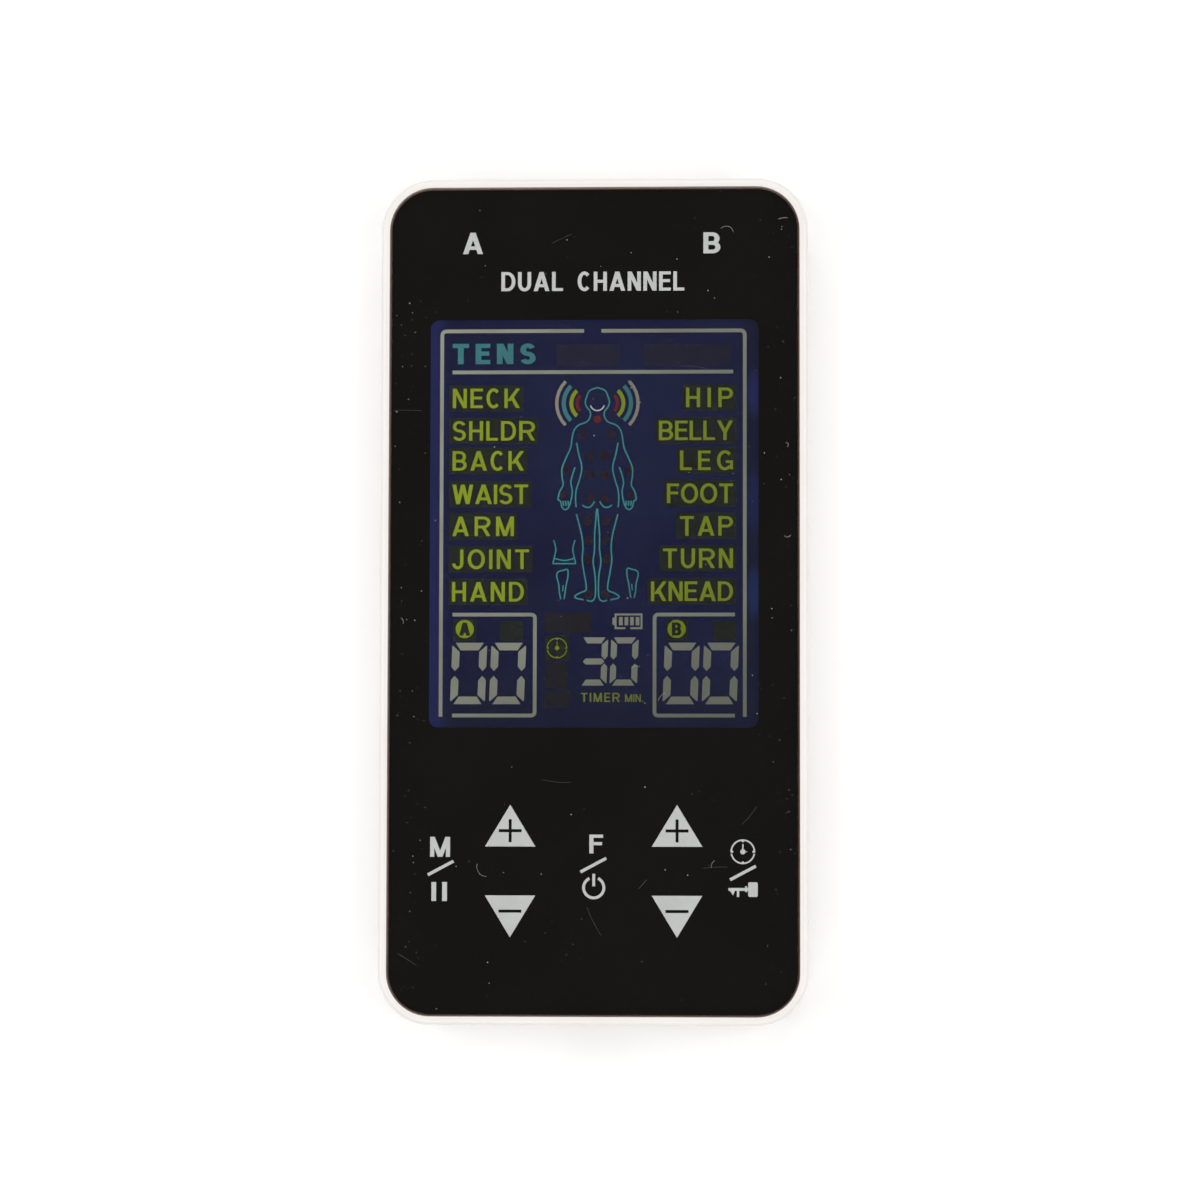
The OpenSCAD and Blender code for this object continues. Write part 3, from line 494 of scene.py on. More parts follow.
def display_look():
    """Dark blue negative display: brighter along its left edge, three faint glows by the right edge."""
    look = Surface("display_field", (0.002, 0.002, 0.009), 0.5, specular_ior_level=0.2)
    x, y = look.axis("X"), look.axis("Y")
    cloud = look.fade(look.noise(22, 2), 0.3, 0.7)
    field = look.mix(cloud, lit(27, 28, 50), lit(31, 34, 57))
    low = look.fade(y, -17 * MM, -6 * MM, 1.0, 0.0)
    field = look.mix(low, field, lit(28, 30, 45))
    left = look.fade(x, window_low.x, window_low.x + 3.2 * MM, 1.0, 0.0)
    field = look.mix(left, field, lit(36, 39, 76))
    right = look.fade(x, window_high.x - 3.2 * MM, window_high.x - 0.8 * MM, 0.0, 0.95)
    field = look.mix(right, field, lit(28, 30, 44))
    for glow_y, glow_size, tone in DISPLAY_GLOWS:
        across = look.maths("DIVIDE", look.maths("SUBTRACT", x, window_high.x - 0.6 * MM), 1.5 * MM)
        along = look.maths("DIVIDE", look.maths("SUBTRACT", y, glow_y * MM), glow_size * MM)
        distance = look.maths("ADD", look.maths("MULTIPLY", across, across),
                              look.maths("MULTIPLY", along, along))
        field = look.mix(look.fade(distance, 0.0, 1.0, 0.9, 0.0), field, tone)
    return look.glow(field).material


def lit_look(name, colour, other=None, size_mm=4.0):
    """A segment that lets the backlight through. The light falls off to the right and towards the keys."""
    look = Surface(name, (0.01, 0.01, 0.01), 0.4)
    cloud = look.fade(look.noise(size_mm, 2), 0.3, 0.7)
    tone = look.mix(cloud, colour, other or tuple(0.9 * c for c in colour))
    across = look.fade(look.axis("X"), -20 * MM, 20 * MM, 0.0, 0.6)
    down = look.fade(look.axis("Y"), -14 * MM, 4 * MM, 0.45, 0.0)
    loss = look.maths("MINIMUM", look.maths("ADD", across, down), 1.0)
    return look.glow(look.mix(loss, tone, tuple(0.4 * c for c in colour))).material


def ink_look(name, colour):
    """Screen-printed ink, a little uneven."""
    look = Surface(name, colour, 0.45)
    return look.worn(tuple(0.93 * c for c in colour), 2.5, 0.05, 0.002, 0.2).material


def board_look():
    """Green solder mask over copper traces that run both ways in patches."""
    look = Surface("solder_mask", (0.014, 0.13, 0.06), 0.28)
    way = look.fade(look.cells(7), 0.44, 0.46)
    along_x = look.fade(look.waves(0.9, "Y"), 0.62, 0.7)
    along_y = look.fade(look.waves(0.9, "X"), 0.62, 0.7)
    trace = look.maths("ADD", look.maths("MULTIPLY", along_x, way),
                       look.maths("MULTIPLY", along_y, look.maths("SUBTRACT", 1.0, way)))
    look.feed("Base Color", look.mix(trace, look.colour, (0.035, 0.24, 0.1)))
    return look.bump(trace, 0.03).material


def winding_look():
    """Enamelled copper wire laid in close turns, with painted shade in the grooves between turns."""
    look = Surface("winding", (0.55, 0.19, 0.06), 0.3, 0.9)
    turns = look.maths("MAXIMUM", look.waves(0.14, "X"), look.waves(0.14, "Y"))
    # Painted shade: the grooves between the turns get a darker copper colour.
    look.feed("Base Color", look.mix(turns, (0.2, 0.06, 0.02), look.colour))
    return look.bump(turns, 0.05).material


def foam_look():
    """Black foam with open pores, whose insides are darkened as painted shade."""
    look = Surface("foam", (0.03, 0.03, 0.032), 0.9)
    pores = look.cells(0.25)
    # Painted shade: the middle of each pore is darker, as the inside of a hole.
    look.feed("Base Color", look.mix(look.fade(pores, 0.1, 0.5), (0.012, 0.012, 0.013), look.colour))
    return look.bump(pores, 0.06).material


def foil_look():
    """The cell's aluminium pouch, brushed and slightly wrinkled."""
    look = Surface("pouch_foil", (0.7, 0.71, 0.73), 0.34, 1.0)
    look.feed("Roughness", look.fade(look.noise(0.4, 4, (1, 0.1, 1)), 0.3, 0.7, 0.26, 0.46))
    return look.bump(look.noise(4, 5), 0.12).material


def plated(name, colour, other, roughness, brush=(1, 0.08, 1)):
    """Bare or plated metal with a fine brushed grain and tarnish."""
    look = Surface(name, colour, roughness, 1.0)
    look.feed("Base Color", look.mix(look.fade(look.noise(1.6), 0.4, 0.7), colour, other))
    grain = look.noise(0.12, 4, brush)
    look.feed("Roughness", look.fade(grain, 0.3, 0.7, roughness - 0.08, roughness + 0.12))
    return look.bump(grain, 0.004).material


def moulded(name, colour, roughness, size_mm=3.0, depth_mm=0.012, grain_mm=0.15, **fixed):
    """Small moulded part: slightly cloudy, with the fine spark grain of its mould."""
    look = Surface(name, colour, roughness, **fixed)
    other = tuple(min(1.0, 1.25 * c + 0.004) for c in colour)
    return look.worn(other, size_mm, min(0.08, roughness / 2), depth_mm, grain_mm).material


def label_look():
    """A pale satin film, a little uneven."""
    look = Surface("label_film", (0.7, 0.7, 0.685), 0.42)
    return look.worn((0.655, 0.655, 0.635), 6, 0.07, 0.003, 0.2).material


SLOT_LOOKS = {
    "case_white": case_look("case_gloss", 0.2, 0.7, 0.002),
    "lens_clear": lens_look(),
    "print_black": film_look(),
    "window_tint": moulded("window_film", (0.006, 0.006, 0.014), 0.12, 8, 0.001, 0.5, alpha=TINT_ALPHA),
    "gasket_black": moulded("gasket_tape", (0.02, 0.02, 0.02), 0.7, 1),
    "polarizer": display_look(),
    "lcd_glass": moulded("display_glass", (0.55, 0.68, 0.64), 0.05, 6, 0.001, 1, alpha=0.35),
    "tinned_metal": plated("tin_plate", (0.72, 0.72, 0.7), (0.55, 0.55, 0.54), 0.3),
    "backlight_white": moulded("tray_white", (0.82, 0.82, 0.8), 0.45),
    "guide_clear": moulded("guide_acrylic", (0.75, 0.82, 0.86), 0.08, 6, 0.01, 0.8, alpha=0.45),
    "sheet_white": moulded("film_white", (0.86, 0.88, 0.9), 0.5, 6, 0.002),
    "led_yellow": moulded("led_phosphor", (0.82, 0.7, 0.2), 0.35, 0.5),
    "board_green": board_look(),
    "gold_plate": plated("gold_plate", (0.83, 0.6, 0.22), (0.7, 0.46, 0.15), 0.22),
    "chip_black": moulded("epoxy_black", (0.028, 0.028, 0.03), 0.55, 1.2, 0.01, 0.08),
    "ceramic_tan": moulded("ceramic", (0.5, 0.36, 0.22), 0.4, 0.5),
    "ferrite": moulded("ferrite", (0.075, 0.075, 0.085), 0.6, 0.8, 0.03, 0.12),
    "bobbin_black": moulded("bobbin", (0.04, 0.04, 0.04), 0.45),
    "copper_wire": winding_look(),
    "can_blue": moulded("can_sleeve", (0.03, 0.045, 0.2), 0.3, 2),
    "battery_foil": foil_look(),
    "tape_yellow": moulded("polyimide", (0.72, 0.42, 0.04), 0.3, 5, 0.01, 1),
    "foam_black": foam_look(),
    "wire_red": moulded("insulation_red", (0.52, 0.02, 0.02), 0.4, 1.5),
    "wire_black": moulded("insulation_black", (0.02, 0.02, 0.02), 0.4, 1.5),
    "plug_ivory": moulded("nylon_ivory", (0.78, 0.74, 0.62), 0.45),
    "jack_black": moulded("nylon_black", (0.022, 0.022, 0.024), 0.4, 1.5, 0.01, 0.1),
    "spring_bronze": plated("bronze", (0.64, 0.38, 0.14), (0.5, 0.27, 0.1), 0.28),
    "screw_steel": plated("nickel_steel", (0.56, 0.55, 0.54), (0.4, 0.38, 0.36), 0.28, (1, 1, 1)),
    "label_grey": label_look(),
    "ink_grey": ink_look("ink_light", (0.69, 0.71, 0.7)),
}


def dress_nodes():
    """Gives every carried-over CAD node the look of its material slot. Two nodes have looks of their own."""
    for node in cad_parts.values():
        names = [slot.material.name.split(".")[0] if slot.material else "" for slot in node.material_slots]
        for index, name in enumerate(names):
            if name in SLOT_LOOKS:
                node.material_slots[index].material = SLOT_LOOKS[name]
    own_looks = {"rear_shell": case_look("case_satin", 0.3, 0.3, 0.002),
                 "lcd_rear_polarizer": moulded("rear_polarizer", (0.02, 0.02, 0.035), 0.3, 8, 0.001, 1)}
    for name, look in own_looks.items():
        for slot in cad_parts[name].material_slots:
            slot.material = look


# ---- Display graphics ----

TITLE = (-20.25, -8.4, 33.7, 2.92)    # left, right, foot and height of the title word
ROW_HEIGHT = 2.78
SHADE_MARGIN = 0.5
# Each word, its inner end across and its foot.
LEFT_WORDS = [("NECK", -10.6, 27.4), ("SHLDR", -8.45, 22.74), ("BACK", -10.0, 18.45), ("WAIST", -9.4, 13.67),
              ("ARM", -11.4, 9.1), ("JOINT", -9.25, 4.4), ("HAND", -9.95, -0.23)]
RIGHT_WORDS = [("HIP", 13.05, 27.45), ("BELLY", 9.2, 22.74), ("LEG", 12.2, 18.46), ("FOOT", 10.35, 13.76),
               ("TAP", 12.2, 9.11), ("TURN", 9.8, 4.51), ("KNEAD", 8.1, -0.18)]
WORDS_LEFT = -20.2
WORDS_RIGHT = 19.73
LINE_W = 0.52
FIGURE_LINE_W = 0.2
ICON_LINE_W = 0.18
FIGURE_X = 0.43              # the figure's middle line
BOX_TOP = -2.1
BOX_FOOT = -16.43
LEVEL_FOOT = -14.82
TIMER_FOOT = -12.18
TIMER_WORDS_FOOT = -14.5


def row_words():
    """The two columns of words, and the faint patches that each word leaves in the display."""
    words, shades = [], []
    spans = [(text, WORDS_LEFT, end, foot) for text, end, foot in LEFT_WORDS]
    spans += [(text, start, WORDS_RIGHT, foot) for text, start, foot in RIGHT_WORDS]
    for text, start, end, foot in spans:
        words += word(text, start, end, foot, ROW_HEIGHT)
        shades.append(rect(start - SHADE_MARGIN, foot - SHADE_MARGIN,
                           end + SHADE_MARGIN, foot + ROW_HEIGHT + SHADE_MARGIN))
    return words, shades


def display_lines():
    """The broken outer frame, the line under the title and the two boxes around the levels."""
    left, right, top, foot = -21.75, 21.4, 38.42, -16.6
    rule_y = 32.52
    paths = [bend([(left, foot), (left, top), (-1.5, top)], 0.6),
             bend([(0.98, top), (right, top), (right, foot)], 0.6),
             [(-20.25, rule_y), (19.75, rule_y)]]
    for open_x, inner_x in ((-20.1, -8.37), (20.0, 8.62)):
        paths.append(bend([(open_x, BOX_TOP), (inner_x, BOX_TOP),
                           (inner_x, BOX_FOOT), (open_x, BOX_FOOT)], 0.5))
    return [ribbon(path, LINE_W) for path in paths]


def display_digits():
    """Two zeros for each channel's level, and the timer's 30."""
    level = {"w": 4.96, "h": 8.72, "t": 1.08}
    timer = {"w": 3.9, "h": 6.84, "t": 0.86}
    shapes = []
    for foot_x in (-20.42, -14.87, 9.75, 15.3):
        shapes += digit("0", foot_x, LEVEL_FOOT, **level)
    shapes += digit("3", -2.1, TIMER_FOOT, **timer)
    shapes += digit("0", 2.23, TIMER_FOOT, **timer)
    return shapes


def battery_symbol():
    """A battery lying level, with four bars and a break in its lower side."""
    left, right, foot, top, line = 2.95, 6.9, -4.17, -1.95, 0.27
    notch = (left + right) / 2 - 0.1
    shapes = [rect(left, top - line, right, top), rect(left, foot, left + line, top),
              rect(right - line, foot, right, top), rect(left, foot, notch - 0.35, foot + line),
              rect(notch + 0.35, foot, right, foot + line), rect(left - 0.3, foot + 0.6, left, top - 0.6)]
    for bar in range(4):
        x = left + 0.62 + bar * 0.79
        shapes.append(rect(x, foot + 0.55, x + 0.52, top - 0.5))
    return shapes


def clock_symbol(cx, cy, r, line):
    """A dial with four ticks, two breaks at its sides and both hands."""
    shapes = [band(cx, cy, r, r, line, line, start, end) for start, end in ((0, 180), (190, 350))]
    for turn in range(4):
        a = math.radians(90 * turn)
        way = Vector((math.cos(a), math.sin(a)))
        shapes.append(ribbon([tuple(Vector((cx, cy)) + way * k) for k in (0.78 * r, 0.98 * r)], 1.3 * line))
    shapes += [ribbon([(cx, cy), (cx, cy + 0.62 * r)], 0.85 * line),
               [(cx, cy - 0.6 * line), (cx + 0.42 * r, cy), (cx, cy + 0.6 * line)],
               disc(cx, cy, 0.21 * r)]
    return shapes


def display_discs():
    """Channel discs with the letters left dark."""
    place = {"A": -18.36, "B": 11.75}
    discs = {name: disc(x, -4.15, 1.3) for name, x in place.items()}
    letters = {name: word(name, x - 0.8, x + 0.8, -5.08, 1.86, 0.28, 0.2) for name, x in place.items()}
    return discs, letters


def body_outline():
    """A plain human figure seen from behind: half of it, as curves about its middle line."""
    head = [(0, 30.3), (-1.1, 29.85), (-1.55, 28.9), (-1.72, 28.2), (-1.5, 27.5), (-1.05, 26.9),
            (-1.0, 26.2), (-1.5, 25.4), (-2.7, 24.9), (-3.35, 24.1), (-3.6, 23.0), (-3.8, 21.7),
            (-4.5, 20.1), (-5.0, 18.8), (-5.0, 17.5), (-4.85, 16.4), (-5.35, 15.4), (-5.6, 14.3)]
    hand = [(-5.6, 14.3), (-5.2, 14.0), (-5.0, 13.2), (-4.5, 12.85), (-4.0, 13.3), (-3.65, 14.5),
            (-3.55, 15.6), (-3.75, 16.7), (-3.5, 17.9), (-3.15, 18.9)]
    side = [(-2.95, 22.4), (-2.65, 20.8), (-2.2, 18.9), (-2.5, 17.2), (-2.95, 15.8), (-3.08, 14.5),
            (-3.0, 13.2)]
    outer_leg = [(-2.95, 12.2), (-2.55, 10.7), (-2.15, 9.0), (-2.0, 7.4), (-2.1, 5.7), (-1.85, 3.9),
                 (-1.55, 2.2), (-1.6, 1.35), (-2.5, 0.95), (-3.15, 0.5), (-2.85, 0.2), (-1.9, 0.0)]
    inner_leg = [(-0.05, 13.0), (-0.2, 11.2), (-0.35, 9.2), (-0.35, 7.2), (-0.55, 5.4), (-0.3, 3.7),
                 (-0.2, 1.8), (-0.3, 0.3), (-0.8, -0.2), (-1.45, -0.05)]
    seat = [(-2.1, 13.5), (-1.6, 13.2), (-0.95, 13.25), (-0.35, 14.0)]
    fingers = [[(x, 14.1), (x + 0.08, 13.4)] for x in (-4.85, -4.5, -4.15)]
    return [smooth(path) for path in (head, hand, side, outer_leg, inner_leg, seat)] + fingers


def figure_shapes():
    """Both halves of the figure, as thin lines."""
    lines = []
    for path in body_outline():
        path = [(FIGURE_X + x, y) for x, y in path]
        lines += [ribbon(path, FIGURE_LINE_W), ribbon(flipped(path, FIGURE_X), FIGURE_LINE_W)]
    return lines


def waist_symbol():
    """A waist with a belt line."""
    left, right, foot, top = -5.85, -2.6, 5.15, 8.5
    middle = (left + right) / 2
    side = smooth([(left + 0.1, top), (left + 0.42, 7.3), (left + 0.25, 6.2), (left, foot)])
    belt = smooth([(left + 0.1, 5.95), (middle, 5.6), (right - 0.1, 5.95)])
    paths = [side, flipped(side, middle), belt, [(left, foot), (right, foot)]]
    return [ribbon(path, ICON_LINE_W) for path in paths]


def sole_symbol(x, y, lean):
    """The sole of a foot standing on its heel, about 4 mm tall."""
    path = smooth([(-0.25, 0), (-0.45, 0.9), (-0.55, 2.1), (-0.85, 3.3), (-0.6, 3.9), (0.1, 4.1),
                   (0.7, 4.2), (0.75, 3.2), (0.5, 2.0), (0.35, 0.9), (0.2, 0)])
    line = [(x + px * lean, y + py) for px, py in path]
    return [ribbon(line, ICON_LINE_W), ribbon([(x, y + 1.1), (x + 0.1 * lean, y + 2.0)], 0.16)]


# Each pair of arcs by the head: its name, radius, width and half of its angle in degrees.
WAVES = [("grey", 4.5, 0.46, 44), ("teal", 3.5, 0.58, 45), ("green", 2.42, 0.55, 48), ("red", 1.6, 0.5, 44)]


def wave_shapes(r, width, half_angle):
    """A pair of arcs, one each side of the head."""
    cx, cy = FIGURE_X - 1.3, 28.05
    left = band(cx, cy, r + width / 2, r + width / 2, width, width, 180 - half_angle, 180 + half_angle)
    return [left, flipped(left, FIGURE_X)]


def dot_shapes():
    """Unlit points of the figure, in pairs. Each row is a height and a distance from the middle."""
    rows = [(23.65, 2.0), (20.5, 1.05), (17.8, 1.05), (14.4, 1.0), (11.2, 1.35), (8.5, 1.2), (5.8, 1.35),
            (0.8, 1.2), (18.55, 4.6), (15.0, 4.95)]
    return [disc(FIGURE_X + side * x, y, 0.66) for y, x in rows for side in (-1, 1)]


def unlit_patches():
    """Plain patches where the display has symbols that are off, in three tones."""
    warm = [rect(-7.0, -4.7, -0.35, -1.85), rect(-6.8, -12.5, -3.65, -8.85),
            rect(-6.95, -15.35, -3.35, -12.8)]
    faint = [rect(-5.4, 33.4, 3.6, 36.5), rect(7.0, 33.4, 19.45, 36.5)]
    green = [rect(-13.35, -5.85, -10.05, -3.0), rect(16.9, -5.85, 20.15, -3.0),
             rect(-20.0, -5.9, -16.7, -2.75), rect(10.2, -5.9, 13.4, -2.75), rect(-6.95, -8.6, -3.5, -5.1)]
    return warm, faint, green


def show(name, shapes, look, levels=GRAPHIC_Z, cuts=()):
    """One flat piece of the display."""
    return flat_piece(name, shapes, levels, look, cuts)


def add_display():
    """Everything that the display shows, on top of its front polarizer."""
    yellow = lit_look("lit_words", lit(131, 146, 22), lit(122, 136, 24), 6)
    pale_yellow = lit_look("lit_small_words", lit(130, 140, 52))
    teal = lit_look("lit_teal", lit(58, 116, 120), lit(52, 106, 111))
    fine_teal = lit_look("lit_fine_teal", lit(62, 140, 142), lit(54, 126, 130))
    grey = lit_look("lit_grey", lit(143, 147, 132), lit(130, 131, 118), 9)
    tan = lit_look("lit_tan", lit(140, 134, 122))
    white = lit_look("lit_white", lit(190, 188, 190))
    red = lit_look("lit_red", lit(98, 28, 28))
    dull_red = lit_look("unlit_red", lit(35, 24, 34))
    warm_shade = lit_look("unlit_warm", lit(28, 25, 30))
    faint_shade = lit_look("unlit_faint", lit(29, 29, 48))
    green_shade = lit_look("unlit_green", lit(29, 33, 25), lit(28, 31, 27))

    words, shades = row_words()
    warm, faint, green = unlit_patches()
    show("display_word_shades", shades + green, green_shade, SHADE_Z)
    show("display_unlit_marks", warm, warm_shade, SHADE_Z)
    show("display_unlit_titles", faint, faint_shade, SHADE_Z)
    show("display_unlit_dots", dot_shapes(), dull_red, SHADE_Z)
    show("display_words", words, yellow)
    left, right, foot, height = TITLE
    show("display_title", word("TENS", left, right, foot, height, 0.28, 0.205, 1.12), teal)
    show("display_lines", display_lines(), grey)
    show("display_digits", display_digits(), grey)
    show("display_battery", battery_symbol(), grey)
    discs, letters = display_discs()
    show("display_disc_a", [discs["A"]], yellow, cuts=letters["A"])
    show("display_disc_b", [discs["B"]], yellow, cuts=letters["B"])
    timer_words = word("TIMER", -1.8, 3.7, TIMER_WORDS_FOOT, 1.28, 0.17, 0.14)
    timer_words += word("MIN.", 4.45, 7.0, TIMER_WORDS_FOOT, 1.1, 0.16, 0.13)
    show("display_timer_words", timer_words, pale_yellow)
    show("display_clock", clock_symbol(-5.22, -6.85, 1.46, 0.13), yellow)
    icons = waist_symbol() + sole_symbol(-4.45, 0.1, 1) + sole_symbol(5.45, 0.25, -1)
    show("display_figure", figure_shapes() + icons, fine_teal)
    looks = {"grey": tan, "teal": teal, "green": yellow, "red": red}
    for name, r, width, half_angle in WAVES:
        show("display_wave_" + name, wave_shapes(r, width, half_angle), looks[name])
    collar = band(FIGURE_X, 28.0, 1.1, 1.1, 0.19, 0.19, 195, 345)
    show("display_collar", [collar], white)
    show("display_lit_dot", [disc(FIGURE_X, 25.75, 0.55)], red)


# ---- Print on the back of the lens ----

ARROW_HALF = 3.57
ARROW_H = 5.9
LEFT_ARROWS_X = -11.75
RIGHT_ARROWS_X = 11.85
CAPTION_FOOT = 44.1
CAPTION_H = 2.75


def arrow_key(x, base, way, sign_y):
    """A filled triangle whose point is way from its base, with its sign left dark."""
    triangle = [(x - ARROW_HALF, base), (x + ARROW_HALF, base), (x, base + way * ARROW_H)]
    reach, half_line = 1.62, 0.215
    sign = [rect(x - reach, sign_y - half_line, x + reach, sign_y + half_line)]
    if way > 0:
        sign.append(rect(x - half_line, sign_y - reach, x + half_line, sign_y + reach))
    return triangle, sign


def slash(x, y):
    """The line between the two symbols of a key, about its middle."""
    return ribbon([(x - 1.82, y - 0.97), (x + 1.82, y + 0.97)], 0.43)


def power_symbol(x, y):
    """An open ring with a stroke through its gap."""
    r, line = 1.64, 0.4
    return [band(x, y, r, r, line, line, 115, 270), band(x, y, r, r, line, line, 270, 425),
            rect(x - line / 2, y + 0.2, x + line / 2, y + 1.95)]


def lock_symbol():
    """A key lying level, its bow to the right."""
    shaft_y = -40.95
    return [round_rect(21.88, -42.0, 23.23, -39.95, 0.22), rect(19.1, shaft_y - 0.2, 21.9, shaft_y + 0.2),
            rect(21.45, shaft_y - 0.38, 21.72, shaft_y + 0.45),
            [(19.1, shaft_y + 0.1), (19.75, shaft_y - 0.85), (20.1, shaft_y)],
            rect(20.28, shaft_y - 1.05, 20.62, shaft_y)]


def add_print():
    """The printed symbols of the seven keys, the channel letters and a plain descriptive line."""
    shapes, cuts = [], []
    for x in (LEFT_ARROWS_X, RIGHT_ARROWS_X):
        for base, way, sign_y in ((-34.97, 1, -32.74), (-41.87, -1, -44.08)):
            triangle, sign = arrow_key(x, base, way, sign_y)
            shapes.append(triangle)
            cuts += sign
    shapes += word("M", -23.1, -20.25, -36.45, 2.82, 0.21, 0.16, 1.09)
    shapes += [slash(-21.58, -38.02), rect(-22.88, -42.68, -22.21, -40.0),
               rect(-21.36, -42.68, -20.67, -40.0)]
    shapes += word("F", -0.58, 1.44, -35.92, 2.65, 0.22, 0.17, 1.18)
    shapes += [slash(0.03, -37.57)] + power_symbol(0.09, -40.75)
    shapes += clock_symbol(21.13, -35.65, 1.75, 0.22) + [slash(21.15, -38.63)] + lock_symbol()
    keys = flat_piece("lens_print_keys", shapes, INK_Z, SLOT_LOOKS["ink_grey"], cuts)
    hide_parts("key_symbols")
    letters = word("A", -18.9, -15.85, 49.45, 3.08, 0.215, 0.165, 1.08)
    letters += word("B", 15.35, 18.1, 49.42, 3.02, 0.235, 0.175, 1.1)
    letters += word("DUAL", -13.3, -4.5, CAPTION_FOOT, CAPTION_H, 0.19, 0.155, 0.95)
    letters += word("CHANNEL", -2.4, 12.8, CAPTION_FOOT, CAPTION_H, 0.19, 0.155, 0.95)
    flat_piece("lens_print_letters", letters, INK_Z, SLOT_LOOKS["ink_grey"])


# ---- Dust and fine marks on the lens ----

DUST_TOP = lens_high.z + 0.012 * MM
DUST_SEED = 41
SPECK_COUNT = 270
MARK_COUNT = 9
FIBRE_STEPS = 9
FIBRE_Z = (lens_high.z, lens_high.z + 0.008 * MM)
MARK_Z = (lens_high.z, lens_high.z + 0.004 * MM)


def dust_specks(rng, count):
    """Small uneven flakes: each is a low closed cone on an irregular base."""
    points, faces = [], []
    half_w = lens_high.x - 0.6 * MM
    half_l = lens_high.y - 0.6 * MM
    for _ in range(count):
        near_edge = rng.random() < 0.4
        x = rng.uniform(-half_w, half_w)
        y = rng.uniform(-half_l, half_l)
        if near_edge:
            x = math.copysign(half_w - abs(rng.gauss(0, 3)) * MM, x)
        x = max(-half_w, min(half_w, x))
        size = rng.choice((0.025, 0.03, 0.04, 0.055, 0.08)) * MM * rng.uniform(0.7, 1.15)
        start, sides = len(points), rng.choice((5, 6, 7))
        for k in range(sides):
            a = math.tau * k / sides
            reach = size * rng.uniform(0.6, 1.25)
            points.append((x + reach * math.cos(a), y + reach * math.sin(a), lens_high.z))
        points.append((x, y, DUST_TOP))
        rim = list(range(start, start + sides))
        faces.append(rim[::-1])
        faces += [[rim[k], rim[(k + 1) % sides], start + sides] for k in range(sides)]
    return points, faces


def fibre(rng, x, y, heading, length, curl, width=0.03):
    """A hair lying on the lens. It sets out at heading and turns by curl a step, in degrees."""
    heading = math.radians(heading)
    path = [(x, y)]
    for _ in range(FIBRE_STEPS):
        heading += math.radians(curl) * rng.uniform(0.6, 1.4)
        x += length / FIBRE_STEPS * math.cos(heading)
        y += length / FIBRE_STEPS * math.sin(heading)
        path.append((x, y))
    return ribbon(smooth(path, 2), width)


def add_dust():
    """Specks, hairs and fine scratches on the lens."""
    rng = random.Random(DUST_SEED)
    speck_look = moulded("dust", (0.3, 0.285, 0.265), 0.9, 0.5)
    faint_look = moulded("faint_mark", (0.06, 0.058, 0.055), 0.8, 0.5)
    points, faces = dust_specks(rng, SPECK_COUNT)
    add_mesh("lens_dust", points, faces, speck_look)
    hairs = [fibre(rng, 18.0, 52.8, 50, 2.3, -13, 0.04), fibre(rng, 26.2, 54.1, 25, 1.3, -3, 0.05),
             fibre(rng, -16.3, -37.4, 240, 2.6, 13, 0.035), fibre(rng, 9.2, -14.4, 80, 1.6, -9),
             fibre(rng, 6.6, -9.6, 150, 1.3, 8), fibre(rng, 27.0, 9.0, 300, 1.1, 16, 0.045),
             fibre(rng, 27.2, 22.2, 10, 0.9, -15, 0.04), fibre(rng, -27.0, -3.5, 60, 1.0, 12),
             fibre(rng, 17.2, -36.9, 200, 1.2, 10)]
    flat_piece("lens_fibres", hairs, FIBRE_Z, speck_look)
    marks = []
    for _ in range(MARK_COUNT):
        x, y = rng.uniform(-25, 25), rng.uniform(-54, 54)
        marks.append(fibre(rng, x, y, rng.uniform(0, 360), rng.uniform(1.5, 4.5), rng.uniform(-2, 2)))
    marks.append(ribbon([(6.5, -40.9), (7.6, -39.6)], 0.05))
    flat_piece("lens_fine_marks", marks, MARK_Z, faint_look)


# ---- Blank label on the back ----

def add_label_print():
    """A thin frame and empty ruled fields, printed on the blank label."""
    ink = ink_look("label_ink", (0.16, 0.16, 0.17))
    middle_x = (label_low.x + label_high.x) / 2 / MM
    middle_y = (label_low.y + label_high.y) / 2 / MM
    margin, line, row_pitch = 1.2, 0.22, 6.5
    half_w = (label_high.x - label_low.x) / 2 / MM - margin
    half_l = (label_high.y - label_low.y) / 2 / MM - margin
    outer = round_rect(middle_x - half_w, middle_y - half_l, middle_x + half_w, middle_y + half_l, 1.2)
    inner = round_rect(middle_x - half_w + line, middle_y - half_l + line,
                       middle_x + half_w - line, middle_y + half_l - line, 1.0)
    rows = [middle_y + half_l - row_pitch * k for k in range(1, 7)]
    levels = (label_low.z - 0.01 * MM, label_low.z)
    flat_piece("label_border", [outer], levels, ink, [inner])
    rules = [rect(middle_x - half_w + 2, y, middle_x + half_w - 2, y + 0.15) for y in rows]
    rules += [rect(middle_x + x, middle_y - half_l + 1, middle_x + x + 0.15, rows[-1] - 1)
              for x in (-8, 0, 8)]
    flat_piece("label_rules", rules, levels, ink)


# ---- Room, light and camera ----

FLOOR_HALF = 2.5
CAMERA_DISTANCE = 0.6
CAMERA_TURN = (-3.87, -2.57, -0.13)      # degrees about X, Y and Z
CAMERA_SHIFT = (-0.41 * MM, -0.66 * MM)


def area_light(name, place, size, power, colour):
    """A soft box that faces the origin."""
    data = bpy.data.lights.new(name, "AREA")
    data.shape = "RECTANGLE"
    data.size, data.size_y = size
    data.energy = power
    data.color = colour
    light = bpy.data.objects.new(name, data)
    bpy.context.scene.collection.objects.link(light)
    light.location = place
    light.rotation_mode = "QUATERNION"
    light.rotation_quaternion = (-Vector(place)).to_track_quat("-Z", "Y")


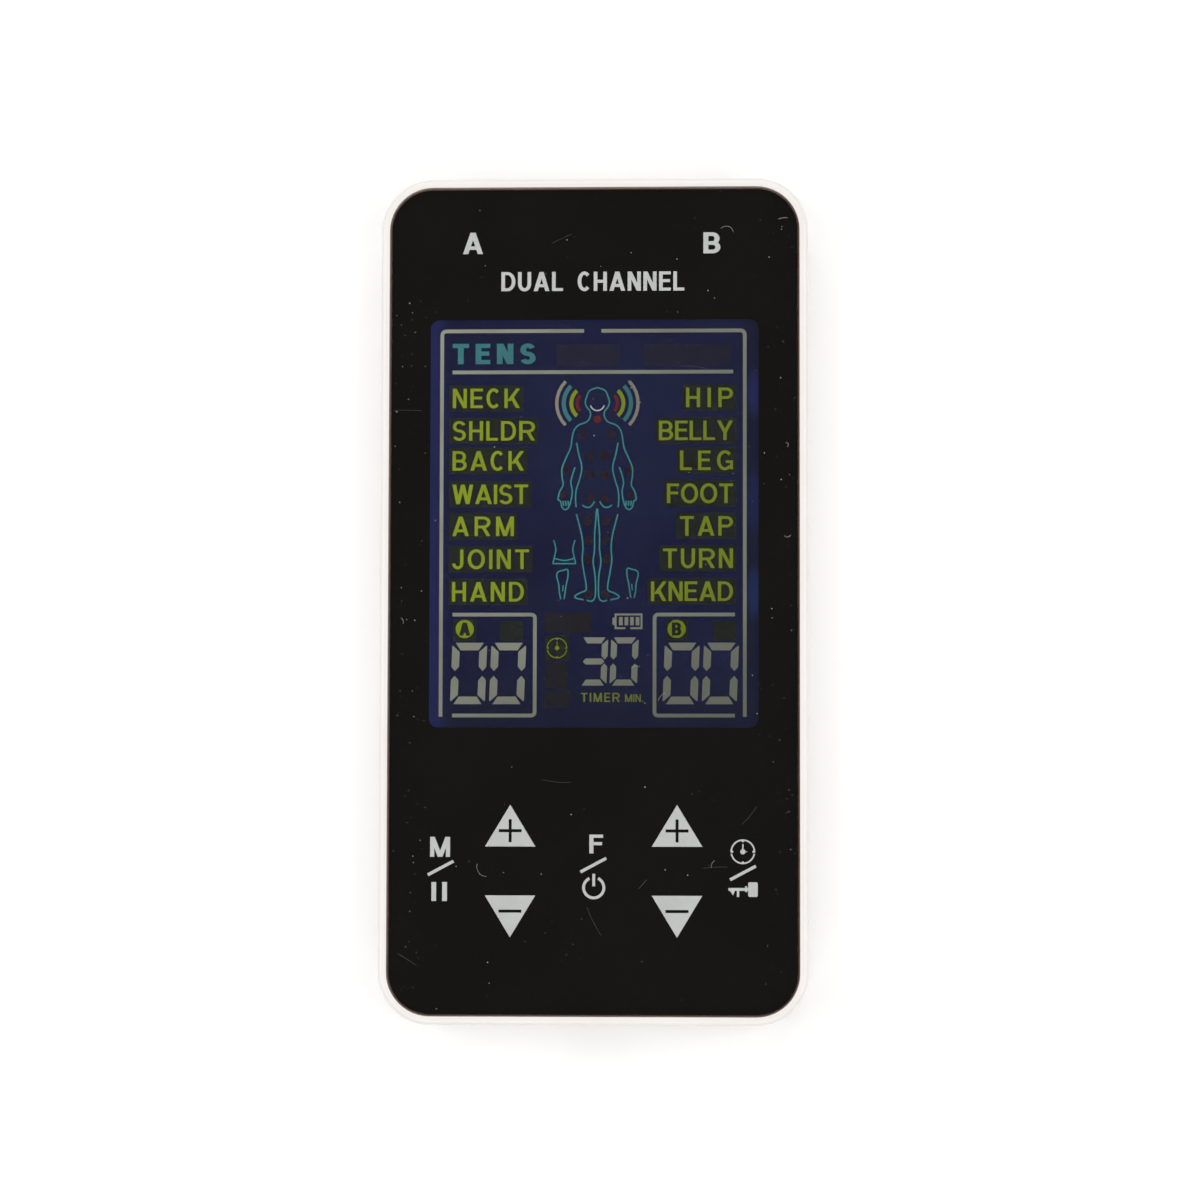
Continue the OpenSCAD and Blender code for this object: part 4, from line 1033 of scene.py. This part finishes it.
def add_room():
    """A pale floor, soft boxes around the object and a dim sky that is dark overhead."""
    look = Surface("floor", (0.985, 0.985, 0.985), 0.85)
    look.worn((0.975, 0.975, 0.975), 60, 0.05, 0.02, 3)
    corners = [(x, y, 0) for x, y in rect(-FLOOR_HALF, -FLOOR_HALF, FLOOR_HALF, FLOOR_HALF)]
    mesh = bpy.data.meshes.new("floor")
    mesh.from_pydata(corners, [], [(0, 1, 2, 3)])
    mesh.materials.append(look.material)
    floor = bpy.data.objects.new("floor", mesh)
    floor.location.z = cad_box[0].z - 0.02 * MM
    bpy.context.scene.collection.objects.link(floor)

    warm, cool = (1, 0.985, 0.965), (0.98, 0.99, 1)
    area_light("left_box", (-0.78, 0.08, 0.92), (0.9, 0.9), 5.6, cool)
    area_light("right_box", (0.78, -0.04, 0.92), (0.9, 0.9), 5.6, warm)
    area_light("top_box", (0, 0.82, 0.88), (1.0, 0.8), 4.9, warm)
    area_light("front_box", (0, -0.82, 0.88), (1.0, 0.8), 4.9, cool)

    world = bpy.data.worlds.new("room")
    bpy.context.scene.world = world
    world.use_nodes = True
    tree = world.node_tree
    back = tree.nodes["Background"]
    way = tree.nodes.new("ShaderNodeSeparateXYZ")
    tree.links.new(tree.nodes.new("ShaderNodeTexCoord").outputs["Generated"], way.inputs[0])
    dark = tree.nodes.new("ShaderNodeMapRange")
    dark.interpolation_type = "SMOOTHSTEP"
    dark.inputs["From Min"].default_value = 0.5
    dark.inputs["From Max"].default_value = 0.93
    dark.inputs["To Min"].default_value = 0.48
    dark.inputs["To Max"].default_value = 0.05
    tree.links.new(way.outputs["Z"], dark.inputs["Value"])
    tree.links.new(dark.outputs[0], back.inputs["Strength"])
    back.inputs["Color"].default_value = (1, 0.995, 0.985, 1)
    bpy.context.scene.view_settings.view_transform = "Standard"


def add_camera():
    """Straight above the panel, a little off square, as a product shot is taken."""
    turns = [Matrix.Rotation(math.radians(angle), 4, axis) for angle, axis in zip(CAMERA_TURN, "XYZ")]
    turn = turns[0] @ turns[1] @ turns[2]
    data = bpy.data.cameras.new("camera")
    data.sensor_width = 36
    data.lens = 124.7
    data.clip_start = 0.01
    camera = bpy.data.objects.new("camera", data)
    bpy.context.scene.collection.objects.link(camera)
    step_back = Matrix.Translation((*CAMERA_SHIFT, -CAMERA_DISTANCE))
    camera.matrix_world = (step_back @ turn).inverted()
    bpy.context.scene.camera = camera


add_camera()
dress_nodes()
add_display()
add_print()
add_dust()
add_label_print()
add_room()
